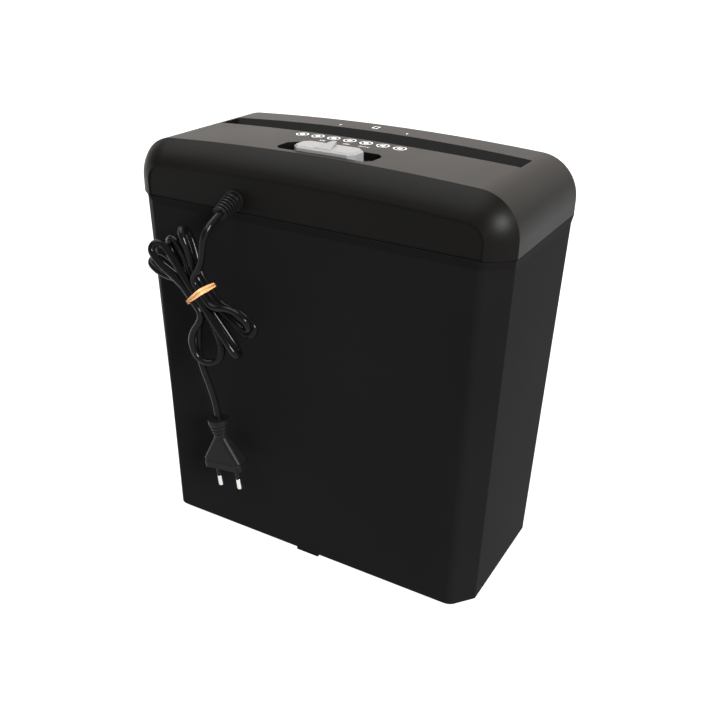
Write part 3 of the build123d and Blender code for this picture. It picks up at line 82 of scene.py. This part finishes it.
# %% [markdown]
# ## Surfaces from arrays
# The floor, the rubber band and the printed lines are grids of points: a function of two parameters, worked
# out for the whole grid at once. One helper numbers the faces of such a grid and another makes the mesh. The
# object stays at the origin, with its place in its mesh, as the CAD's pieces do.

# %% Grid to mesh
def link(name, mesh, material):
    """Object at the origin that shows a mesh with flat faces."""
    piece = bpy.data.objects.new(name, mesh)
    bpy.context.scene.collection.objects.link(piece)
    mesh.materials.append(material)
    mesh.polygons.foreach_set("use_smooth", np.full(len(mesh.polygons), False))
    return piece


def grid_faces(rows, columns, wrap_rows=False, wrap_columns=False):
    """Corner numbers of the four-sided cells of a grid, as one array; a wrapped side joins end to start."""
    i = np.arange(rows if wrap_rows else rows - 1)[:, None]
    j = np.arange(columns if wrap_columns else columns - 1)[None, :]
    here = i * columns + j
    right = i * columns + (j + 1) % columns
    up = ((i + 1) % rows) * columns + j
    both = ((i + 1) % rows) * columns + (j + 1) % columns
    return np.stack([here, right, both, up], axis=-1).reshape(-1, 4)


def mesh_of(name, points, faces):
    """Mesh from an array of points and an array of corner numbers."""
    mesh = bpy.data.meshes.new(name)
    mesh.from_pydata(points.reshape(-1, 3).tolist(), [], faces.tolist())
    mesh.update()
    return mesh


# %% [markdown]
# ## Arithmetic on sockets
# A finish is easier to read as a formula than as a web of nodes. `Wire` wraps one output socket, and each
# sign between two wires adds a Math node. `Web` holds one tree of nodes, and its `add` makes any other node
# from its type, its settings and what feeds its sockets. `Finish` is the web of one material.

# %% Wires and finishes
class Wire:
    """An output socket that can be written in sums, differences and products."""

    def __init__(self, web, socket):
        self.web = web
        self.socket = socket

    def math(self, operation, *values):
        return self.web.add("ShaderNodeMath", {"operation": operation}, dict(enumerate(values)))

    def __add__(self, other):
        return self.math("ADD", self, other)

    __radd__ = __add__

    def __sub__(self, other):
        return self.math("SUBTRACT", self, other)

    def __rsub__(self, other):
        return self.math("SUBTRACT", other, self)

    def __mul__(self, other):
        return self.math("MULTIPLY", self, other)

    __rmul__ = __mul__


class Web:
    """A tree of nodes."""

    def __init__(self, tree):
        self.tree = tree

    def feed(self, socket, value):
        """Link a wire to a socket, or set the socket's own value."""
        if isinstance(value, Wire):
            self.tree.links.new(value.socket, socket)
        elif socket.type == "RGBA":
            socket.default_value = (*value[:3], 1.0)
        else:
            socket.default_value = value

    def add(self, kind, settings=None, sockets=None, out=0):
        """Node of a kind: settings first, then its sockets' values or links; returns one of its outputs."""
        node = self.tree.nodes.new(kind)
        for name, value in (settings or {}).items():
            setattr(node, name, value)
        for name, value in (sockets or {}).items():
            self.feed(node.inputs[name], value)
        return Wire(self, node.outputs[out])

    def axes(self, vector):
        """The three parts of a vector as wires."""
        first = self.add("ShaderNodeSeparateXYZ", None, {0: vector})
        return [Wire(self, output) for output in first.socket.node.outputs]

    def ramp(self, value, start, end, low, high):
        """Smooth step from low to high while a value goes from start to end."""
        return self.add("ShaderNodeMapRange", {"interpolation_type": "SMOOTHSTEP"},
                        {"Value": value, "From Min": start, "From Max": end, "To Min": low, "To Max": high})

    def blend(self, share, first, second):
        """Colour between two, by a share from 0 to 1."""
        return self.add("ShaderNodeMix", {"data_type": "RGBA"}, {0: share, 6: first, 7: second}, 2)


class Finish(Web):
    """One material: a Principled shader and the nodes that feed it."""

    def __init__(self, name, **constants):
        self.material = bpy.data.materials.new(name)
        self.material.use_nodes = True
        super().__init__(self.material.node_tree)
        self.shader = self.tree.nodes["Principled BSDF"]
        self.set(**constants)
        self.place = self.add("ShaderNodeTexCoord", out="Object")

    def noise(self, size, detail, stretch=(1.0, 1.0, 1.0)):
        """Cloudy noise with patches of about a size in metres; stretch draws it out along an axis."""
        place = self.add("ShaderNodeMapping", {"vector_type": "TEXTURE"},
                         {"Vector": self.place, "Scale": stretch})
        return self.add("ShaderNodeTexNoise", None, {"Vector": place, "Scale": 1 / size, "Detail": detail})

    def relief(self, height, depth, edge):
        """Bump of a depth in metres, over edges softened by a radius if there is one, into the normal."""
        sockets = {"Height": height, "Distance": depth, "Strength": 1.0}
        if edge:
            sockets["Normal"] = self.add("ShaderNodeBevel", {"samples": 4}, {"Radius": edge})
        self.feed(self.shader.inputs["Normal"], self.add("ShaderNodeBump", None, sockets))

    def set(self, **sockets):
        """Feed the shader's own sockets."""
        for name, value in sockets.items():
            self.feed(self.shader.inputs[name.replace("_", " ")], value)
        return self.material


def tint(colour, factor):
    """A colour made lighter or darker."""
    return tuple(min(1.0, c * factor) for c in colour)


# %% [markdown]
# ## Floor and light
# The picture is a studio shot of a black machine on white. The table is lit from below, so it glows evenly
# and hides the shadow. A bright backdrop stands behind the machine and lays the grey sheen over its top, a
# pale strip runs round the horizon, and the rest of the room is dark, which keeps the black plastic black.
# A broad soft light overhead draws the bevels, and a lamp by the end catches the near corner.

# %% Studio
FLOOR_HALF = 14.0
BACKDROP = (2.40, 2.26, 2.12)
BACKDROP_EDGE = (0.3, -0.9)
HORIZON = (0.9, 0.9, 0.9)
HORIZON_EDGE = (0.10, 0.22)
ROOM = (0.03, 0.03, 0.03)
TABLE_GREY = (0.1, 0.1, 0.1)
TABLE_GLOW = (1.0, 1.0, 1.0)
LAMPS = {"lamp_over": ((0.30, 0.20, 0.93), 4.5, 60), "lamp_by_end": ((-0.80, 0.41, 0.45), 8.0, 22)}

edge = np.array([-FLOOR_HALF, FLOOR_HALF])
floor_x, floor_y = np.meshgrid(edge, edge)
floor_points = np.stack([floor_x, floor_y, np.zeros_like(floor_x)], axis=-1)
table = Finish("white table", Base_Color=TABLE_GREY, Roughness=1.0, Emission_Color=TABLE_GLOW,
               Emission_Strength=1.0)
floor = link("floor", mesh_of("floor", floor_points, grid_faces(2, 2)), table.material)

world = bpy.data.worlds.new("studio")
world.use_nodes = True
room = Web(world.node_tree)
_, towards_back, height = room.axes(room.add("ShaderNodeTexCoord", out="Generated"))
walls = room.blend(room.ramp(towards_back, *BACKDROP_EDGE, 0.0, 1.0), ROOM, BACKDROP)
glow = room.blend(room.ramp(height, *HORIZON_EDGE, 1.0, 0.0), walls, HORIZON)
room.feed(room.tree.nodes["Background"].inputs["Color"], glow)
bpy.context.scene.world = world
bpy.context.scene.view_settings.view_transform = "Standard"


def lamp(name, way, power, spread):
    """Soft far lamp: the way to it, its power and the angle in degrees that it fills."""
    light = bpy.data.objects.new(name, bpy.data.lights.new(name, "SUN"))
    light.data.energy = power
    light.data.angle = math.radians(spread)
    light.rotation_mode = "QUATERNION"
    light.rotation_quaternion = Vector(way).to_track_quat("Z", "Y")
    bpy.context.scene.collection.objects.link(light)


for name, settings in LAMPS.items():
    lamp(name, *settings)
print("backdrop", BACKDROP, "room", ROOM, "lamps", len(LAMPS))

# %% [markdown]
# ## Moulded plastics
# Bin, cover, knob, plug and gears are injection mouldings. Their tools are spark-eroded, which leaves a
# fine pebbled grain, so each has a small bump and a slow drift of colour and roughness from the melt's flow.
# Grain size, gloss and shine are what tell them apart.

# %% Plastics
FLOW_SIZE = 0.09
FLOW_GLOSS = 0.12
GRAIN_GLOSS = 0.08


def moulded(name, colour, gloss, grain, depth, drift=0.12, edge=0.4 * MM, shine=0.5):
    """Plastic with a pebbled grain: size and depth of the pebbles, and gloss as roughness."""
    finish = Finish(name, Specular_IOR_Level=shine)
    flow = finish.noise(FLOW_SIZE, 3.0)
    pebble = finish.noise(grain, 1.0)
    finish.relief(pebble, depth, edge)
    return finish.set(Base_Color=finish.blend(flow, tint(colour, 1 - drift), tint(colour, 1 + drift)),
                      Roughness=gloss + FLOW_GLOSS * (flow - 0.5) + GRAIN_GLOSS * (pebble - 0.5))


plastics = {
    "bin": moulded("satin black bin", (0.0056, 0.0052, 0.0055), 0.52, 0.7 * MM, 0.012 * MM, shine=0.007),
    "head_cover": moulded("grained black cover", (0.0027, 0.0024, 0.0022), 0.40, 0.6 * MM, 0.03 * MM,
                          shine=0.06),
    "head_base": moulded("plain black tub", (0.007, 0.007, 0.0075), 0.5, 0.9 * MM, 0.02 * MM, shine=0.1),
    "switch_slider": moulded("grey knob", (0.145, 0.145, 0.147), 0.42, 0.5 * MM, 0.012 * MM, 0.04, shine=0.3),
    "slide_switch": moulded("switch body", (0.02, 0.02, 0.022), 0.45, 0.8 * MM, 0.01 * MM),
    "front_comb": moulded("stripper comb", (0.03, 0.03, 0.032), 0.5, 0.8 * MM, 0.015 * MM),
    "front_spacers": moulded("spacer nylon", (0.62, 0.60, 0.53), 0.45, 1.0 * MM, 0.01 * MM),
    "final_gear": moulded("gear nylon", (0.66, 0.64, 0.58), 0.42, 1.0 * MM, 0.01 * MM),
    "sensor_lever": moulded("sensor black", (0.018, 0.018, 0.02), 0.5, 0.8 * MM, 0.01 * MM),
    "interlock_plunger": moulded("plunger white", (0.72, 0.71, 0.68), 0.45, 0.8 * MM, 0.01 * MM),
    "control_board": moulded("board green", (0.02, 0.10, 0.04), 0.35, 1.5 * MM, 0.005 * MM),
    "board_parts": moulded("component case", (0.03, 0.035, 0.06), 0.4, 0.8 * MM, 0.008 * MM),
    "strain_relief": moulded("lead boot", (0.0045, 0.0045, 0.0049), 0.26, 0.5 * MM, 0.01 * MM, shine=0.12),
    "plug_body": moulded("plug black", (0.0045, 0.0044, 0.0047), 0.34, 0.5 * MM, 0.012 * MM, shine=0.08),
    "cord_tie": moulded("tan rubber band", (0.50, 0.25, 0.10), 0.62, 0.9 * MM, 0.03 * MM),
}
plastics["rear_comb"] = plastics["front_comb"]
plastics["rear_spacers"] = plastics["front_spacers"]
plastics["compound_gear"] = plastics["final_gear"]
plastics["paper_sensor"] = plastics["sensor_lever"]
plastics["interlock_switch"] = plastics["slide_switch"]
print("plastics:", len(plastics))

# %% [markdown]
# ## Metals
# Inside the head are steel plates, ground cutters, plated screws, brass and bronze. A rolled or ground
# surface has its scratches along one way, which is noise drawn out along an axis; cast or sintered metal
# has specks instead, and then nothing is drawn out.

# %% Metals
STAIN_SIZE = 0.03
STAIN_TINTS = (0.82, 1.1)
STAIN_GLOSS = 0.1
SCRATCH_GLOSS = 0.16
METAL_EDGE = 0.3 * MM
ALONG_X = (30.0, 1.0, 1.0)
ALONG_Y = (1.0, 40.0, 1.0)
EVEN = (1.0, 1.0, 1.0)


def worked_metal(name, colour, gloss, stretch, scratch=0.3 * MM, depth=0.004 * MM):
    """Metal with scratches drawn out along an axis, and a slow stain."""
    finish = Finish(name, Metallic=1.0)
    stain = finish.noise(STAIN_SIZE, 3.0)
    mark = finish.noise(scratch, 2.0, stretch)
    finish.relief(mark, depth, METAL_EDGE)
    dark, light = (tint(colour, factor) for factor in STAIN_TINTS)
    return finish.set(Base_Color=finish.blend(stain, dark, light),
                      Roughness=gloss + SCRATCH_GLOSS * (mark - 0.5) + STAIN_GLOSS * (stain - 0.5))



plate_steel = worked_metal("rolled plate", (0.55, 0.56, 0.58), 0.36, ALONG_Y)
cutter_steel = worked_metal("ground cutter steel", (0.40, 0.40, 0.42), 0.28, ALONG_Y)
plated_steel = worked_metal("zinc plating", (0.62, 0.63, 0.64), 0.30, EVEN, 1.2 * MM)
bronze = worked_metal("sintered bronze", (0.50, 0.30, 0.14), 0.45, EVEN, 0.4 * MM, 0.02 * MM)
brass = worked_metal("cut brass", (0.66, 0.46, 0.17), 0.28, EVEN)
nickel = worked_metal("nickel pin", (0.66, 0.64, 0.60), 0.22, EVEN, 0.5 * MM, 0.002 * MM)
motor_steel = worked_metal("motor can", (0.34, 0.35, 0.36), 0.34, ALONG_X)

metals = {
    "gear_side_plate": plate_steel, "far_side_plate": plate_steel, "front_shaft": cutter_steel,
    "rear_shaft": cutter_steel, "front_discs": cutter_steel, "rear_discs": cutter_steel,
    "front_sync_gear": cutter_steel, "rear_sync_gear": cutter_steel, "motor_shaft": cutter_steel,
    "tie_rods": plated_steel, "frame_screws": plated_steel, "cover_screws": plated_steel,
    "front_clip": plated_steel, "rear_clips": plated_steel, "gear_axle": plated_steel,
    "sensor_pin": plated_steel, "shaft_bushes": bronze, "motor_pinion": brass, "motor": motor_steel,
    "plug_pins": nickel,
}
for name, material in {**plastics, **metals}.items():
    nodes[name].data.materials.clear()
    nodes[name].data.materials.append(material)
print("dressed:", len(plastics) + len(metals), "of", len(nodes))

# %% [markdown]
# ## The mains lead
# The lead leaves its boot, bends down, and is folded over and over into a hank with a rubber band round
# its waist; the last stretch hangs to the plug. A NURBS curve of order 3 passes through the middle of
# each leg of its control polygon and is tangent to it there, so a smooth hank needs only the corners
# of that polygon: two for each stretch between the places where the way of the cord is known. The route is
# in millimetres from the grommet. Each loop of the hank has four numbers: the angle that it leans from
# upright, its reach from the waist, the radius of its end, and the angle that the end is turned from the line
# straight out of the wall. Angles are in degrees.

# %% Route of the lead
GROMMET = np.array([55.2, 70.9, 288.5])
BOOT_DROOP = math.radians(20.0)
BOOT_START = np.array([0.0, 2.0, 0.0])
BOOT_LENGTH = 16.0
BOOT_RUN = 8.2
CORD_DIAMETER = 5.2
LEAD_CORNERS = [(1.0, 30.9, -13.8), (2.6, 34.0, -21.3), (4.0, 33.1, -27.7)]
HANK_START, HANK_START_WAY = np.array([5.6, 32.4, -33.5]), (0.27, -0.12, -1.0)
HANK_END, HANK_END_WAY = np.array([19.2, 24.6, -94.5]), (0.05, 0.0, -1.0)
HANK_STEP = 5.4
HANK_HALF = 4.0
HANK_LEAN = math.radians(40.0)
HANK_WAIST = np.array([14.3, 25.1, -64.6])
LOWER_LOOPS = [(63.0, 43.5, 7.6, -63.3), (57.2, 46.5, 5.4, 80.0),
               (40.0, 52.0, 5.9, -24.1), (14.0, 50.0, 11.3, 73.7)]
UPPER_LOOPS = [(24.3, 46.0, 7.1, -21.3), (37.7, 44.5, 6.6, -72.7),
               (44.8, 47.7, 5.2, 60.8), (62.9, 45.4, 5.3, 27.6)]
TAIL_CORNERS = [(20.1, 24.6, -112.7), (19.0, 22.5, -127.5), (16.0, 19.3, -142.5)]
PLUG_TOP = np.array([11.6, 17.1, -171.0])
PLUG_LEAN = math.radians(8.0)
PLUG_RUN = 13


def unit(vector):
    """A vector of length one."""
    return np.array(vector, float) / np.linalg.norm(vector)


def leaning(angle):
    """Way in the plane of the back, an angle from upright towards +X, and the way square to it."""
    return np.array([math.sin(angle), 0, math.cos(angle)]), np.array([math.cos(angle), 0, -math.sin(angle)])


def waist_point(i, along):
    """Pass i at the waist: three columns of three, filled towards the wall and away from it in turn."""
    up, side = leaning(HANK_LEAN)
    column, row = divmod(i, 3)
    layer = row - 1 if column % 2 else 1 - row
    return HANK_WAIST + up * along + HANK_STEP * (side * (column - 1) + np.array([0, layer, 0]))


def fold(i, angle, reach, radius, tilt, sign):
    """Three places round a fold, with the cord's way at each: out, across at the far end, and back."""
    way, side = leaning(math.radians(angle))
    way = sign * way
    tilt = math.radians(tilt)
    here, there = waist_point(i, 0), waist_point(i + 1, 0)
    across = np.array([0, math.cos(tilt), 0]) + side * math.sin(tilt)
    across *= np.sign((here - there) @ across)
    middle = (here + there) / 2 + way * (reach - radius)
    return [(middle + across * radius, way), (middle + way * radius, -across),
            (middle - across * radius, -way)]


def hank_places():
    """Places along the hank and the cord's way there, from the lead to the tail."""
    up, _ = leaning(HANK_LEAN)
    places = [(HANK_START, unit(HANK_START_WAY))]
    for k, (lower, upper) in enumerate(zip(LOWER_LOOPS, UPPER_LOOPS)):
        i = 2 * k
        places += [(waist_point(i, HANK_HALF), -up), (waist_point(i, -HANK_HALF), -up)]
        places += fold(i, *lower, -1)
        places += [(waist_point(i + 1, -HANK_HALF), up), (waist_point(i + 1, HANK_HALF), up)]
        places += fold(i + 1, *upper, 1)
    i = 2 * len(LOWER_LOOPS)
    places += [(waist_point(i, HANK_HALF), -up), (waist_point(i, -HANK_HALF), -up)]
    return places + [(HANK_END, unit(HANK_END_WAY))]


def control_corners(start, start_way, end, end_way):
    """Two corners between places: as far along each way as makes the leg between them twice that long."""
    chord = end - start
    along = chord @ (start_way + end_way)
    spread = 2 * (1 - start_way @ end_way)
    if spread < 1e-9:
        pull = chord @ chord / (4 * chord @ end_way)
    else:
        pull = (math.sqrt(along ** 2 + spread * (chord @ chord)) - along) / spread
    return [start + start_way * pull, end - end_way * pull]


boot_way = np.array([0, math.cos(BOOT_DROOP), -math.sin(BOOT_DROOP)])
boot_end = BOOT_START + boot_way * BOOT_LENGTH
plug_way = np.array([-math.sin(PLUG_LEAN), 0, -math.cos(PLUG_LEAN)])
places = hank_places()
route = [boot_end, boot_end + boot_way * BOOT_RUN] + LEAD_CORNERS
for (start, start_way), (end, end_way) in zip(places, places[1:]):
    route += control_corners(start, start_way, end, end_way)
route += TAIL_CORNERS + [PLUG_TOP - plug_way * PLUG_RUN, PLUG_TOP]
route = (GROMMET + np.array(route)) * MM
print("control points of the lead:", len(route))

# %% [markdown]
# ## Giving the lead its sheath
# The curve takes a round bevel of the cord's own radius. Its sheath is soft black PVC: a little glossier
# than the plug, with the faint waviness that an extruded sheath has along its length.

# %% Lead
sheath = moulded("lead sheath", (0.003, 0.0029, 0.0031), 0.15, 2.4 * MM, 0.02 * MM, edge=0, shine=0.09)
curve = bpy.data.curves.new("mains_lead", "CURVE")
curve.dimensions = "3D"
curve.resolution_u = 6
curve.bevel_depth = CORD_DIAMETER / 2 * MM
curve.bevel_resolution = 4
curve.use_fill_caps = True
spline = curve.splines.new("NURBS")
spline.points.add(len(route) - 1)
spline.points.foreach_set("co", np.column_stack([route, np.ones(len(route))]).ravel())
spline.order_u = 3
spline.use_endpoint_u = True
lead = bpy.data.objects.new("mains_lead", curve)
bpy.context.scene.collection.objects.link(lead)
curve.materials.append(sheath)
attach(lead, "head")
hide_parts("cord_lead", "cord_hank", "cord_tail")
print("lead of", CORD_DIAMETER, "mm, a curve of order", spline.order_u)

# %% [markdown]
# ## The rubber band
# A tan rubber band goes twice round the waist of the hank, its two turns crossing where it was twisted.
# Each turn is a rectangle swept round a squared circle, whose radius in a direction (x, y) is the half
# width over the eighth root of x to the eighth plus y to the eighth; the turns sway opposite ways.

# %% Rubber band
BAND_HALF = 8.9
BAND_WIDE = 2.6
BAND_THICK = 1.0
BAND_SQUARE = 8
BAND_SWAY = 0.9
BAND_CROSSING = 0.6
BAND_STEPS = 96
SECTION = np.array([[-1, -1, 1, 1], [-1, 1, 1, -1]]) / 2


def band_turn(sign):
    """One turn of the band: each corner of its section reaches out from the waist and rises along it.

    The reach is the squared circle's radius plus the corner's share of the thickness. The rise is a cosine
    of the angle, with the sign of the turn, plus the corner's share of the width.
    """
    up, side = leaning(HANK_LEAN)
    out = np.array([0, 1, 0])
    angle = np.linspace(0, 2 * math.pi, BAND_STEPS, endpoint=False)[:, None]
    x, y = np.cos(angle), np.sin(angle)
    thick, wide = SECTION * [[BAND_THICK], [BAND_WIDE]]
    reach = BAND_HALF / (x ** BAND_SQUARE + y ** BAND_SQUARE) ** (1 / BAND_SQUARE) + thick
    rise = sign * BAND_SWAY * np.cos(angle + BAND_CROSSING) + wide
    return HANK_WAIST + (reach * x)[..., None] * side + (reach * y)[..., None] * out + rise[..., None] * up


turns = (GROMMET + np.stack([band_turn(-1), band_turn(1)])) * MM
turn_faces = grid_faces(BAND_STEPS, 4, wrap_rows=True, wrap_columns=True)
band_mesh = mesh_of("rubber_band", turns, np.concatenate([turn_faces, turn_faces + 4 * BAND_STEPS]))
band = link("rubber_band", band_mesh, plastics["cord_tie"])
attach(band, "head")
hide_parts("cord_tie")
print("band of", BAND_WIDE, "mm, two turns")

# %% [markdown]
# ## Marks on the top
# The top is printed in white: ticks and a sheet's outline by the slot say where a small sheet goes in, a row
# of rings runs beside it, and three words say what the knob does. Ink has no thickness to speak of, so each
# mark is a thin sheet of faces laid a hair above the crowned top.

# %% The crowned top
CROWN_HALF = 0.120
CROWN_RISE = 0.0036
CROWN_RADIUS = (CROWN_HALF ** 2 + CROWN_RISE ** 2) / (2 * CROWN_RISE)
INK_LIFT = 0.05 * MM


def on_top(x, y):
    """Points of the crowned top: an arc across the width, straight along the depth, lifted by the ink."""
    z = cover_high[2] - CROWN_RADIUS + np.sqrt(CROWN_RADIUS ** 2 - x ** 2) + INK_LIFT
    return np.stack([x, y, z], axis=-1)


def stroke(name, points, width, closed=False):
    """Printed line of a width along flat points: the two edges lie half a width to each side."""
    points = np.array(points, float)
    ahead = np.roll(points, -1, axis=0) - points
    behind = points - np.roll(points, 1, axis=0)
    if not closed:
        ahead[-1] = behind[-1]
        behind[0] = ahead[0]
    ahead /= np.linalg.norm(ahead, axis=1, keepdims=True)
    behind /= np.linalg.norm(behind, axis=1, keepdims=True)
    way = (ahead + behind) / (1 + (ahead * behind).sum(axis=1, keepdims=True))
    across = np.column_stack([-way[:, 1], way[:, 0]]) * width / 2
    edges = np.stack([points - across, points + across], axis=1)
    faces = grid_faces(len(points), 2, wrap_rows=closed)[:, ::-1]
    return mesh_of(name, on_top(edges[..., 0], edges[..., 1]), faces)


print("crown radius", round(CROWN_RADIUS, 4))

# %% Marks by the slot
INK_WORN = (0.62, 0.62, 0.61)
INK_FRESH = (0.80, 0.80, 0.79)
INK_GLOSS = 0.55
INK_SPECK = 0.6 * MM
SHEET = np.array([6.2, -43.8]) * MM
SHEET_HALF = np.array([2.1, 3.2]) * MM
SHEET_CUT = 0.45
TICK_X = np.array([34.3, -22.9]) * MM
TICK_Y = np.array([-40.2, -37.0]) * MM
LINE = 0.7 * MM

ink = Finish("white ink", Roughness=INK_GLOSS)
white_ink = ink.set(Base_Color=ink.blend(ink.noise(INK_SPECK, 2.0), INK_WORN, INK_FRESH))


def printed(name, mesh):
    """A printed mark that rides on the head."""
    piece = link(name, mesh, white_ink)
    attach(piece, "head")
    return piece


sheet_corners = np.array([[-1, -1], [1, -1], [1, SHEET_CUT], [SHEET_CUT, 1], [-1, 1]]) * SHEET_HALF + SHEET
printed("mark_sheet", stroke("mark_sheet", sheet_corners, LINE, closed=True))
for x, name in zip(TICK_X, ("mark_tick_left", "mark_tick_right")):
    printed(name, stroke(name, [[x, TICK_Y[0]], [x, TICK_Y[1]]], LINE))
print("marks by the slot: 3")

# %% [markdown]
# Between the slot and the knob runs a row of round marks, each a ring with a dot. A ring is a closed stroke
# round a circle, and a dot is a closed stroke so broad that its inner edge nearly meets itself.

# %% Row of rings
RING_X = np.linspace(41.1, -39.2, 7) * MM
RING_Y = 4.4 * MM
RING_RADIUS = 4.4 * MM
DOT_RADIUS = 1.9 * MM
DOT_MIDDLE = 0.52 * DOT_RADIUS
DOT_BREADTH = 0.96 * DOT_RADIUS


def circle(x, y, radius, count=48):
    """Points round a circle: the middle plus the radius times cosine and sine of even angles."""
    angle = np.linspace(0, 2 * math.pi, count, endpoint=False)
    return np.column_stack([x + radius * np.cos(angle), y + radius * np.sin(angle)])


for i, x in enumerate(RING_X):
    printed(f"ring_{i}", stroke("ring", circle(x, RING_Y, RING_RADIUS), LINE, closed=True))
    printed(f"dot_{i}", stroke("dot", circle(x, RING_Y, DOT_MIDDLE), DOT_BREADTH, closed=True))
print("rings:", len(RING_X), "of radius", RING_RADIUS)

# %% [markdown]
# The words are set in Blender's own typeface, turned into a mesh and laid on the crown like the other marks.

# %% Words by the knob
WORD_Y = 14.0 * MM
WORD_HEIGHT = 3.0 * MM
WORDS = {"AUTO": -16.5 * MM, "OFF": -2.4 * MM, "REV": 17.5 * MM}


def word(name, text, x, y):
    """A flat word as a mesh, its letters' width and height laid on the crowned top, centred at x and y."""
    letters = bpy.data.curves.new(name, "FONT")
    letters.body = text
    letters.size = WORD_HEIGHT
    letters.align_x = "CENTER"
    letters.resolution_u = 2
    holder = bpy.data.objects.new(name, letters)
    bpy.context.scene.collection.objects.link(holder)
    bpy.context.view_layer.update()
    mesh = bpy.data.meshes.new_from_object(holder.evaluated_get(bpy.context.evaluated_depsgraph_get()))
    bpy.data.objects.remove(holder)
    flat = np.zeros(len(mesh.vertices) * 3)
    mesh.vertices.foreach_get("co", flat)
    flat = flat.reshape(-1, 3)
    mesh.vertices.foreach_set("co", on_top(flat[:, 0] + x, flat[:, 1] + y).ravel())
    mesh.update()
    return printed(name, mesh)


for text, x in WORDS.items():
    word("word_" + text.lower(), text, x, WORD_Y)
print("words by the knob:", len(WORDS))
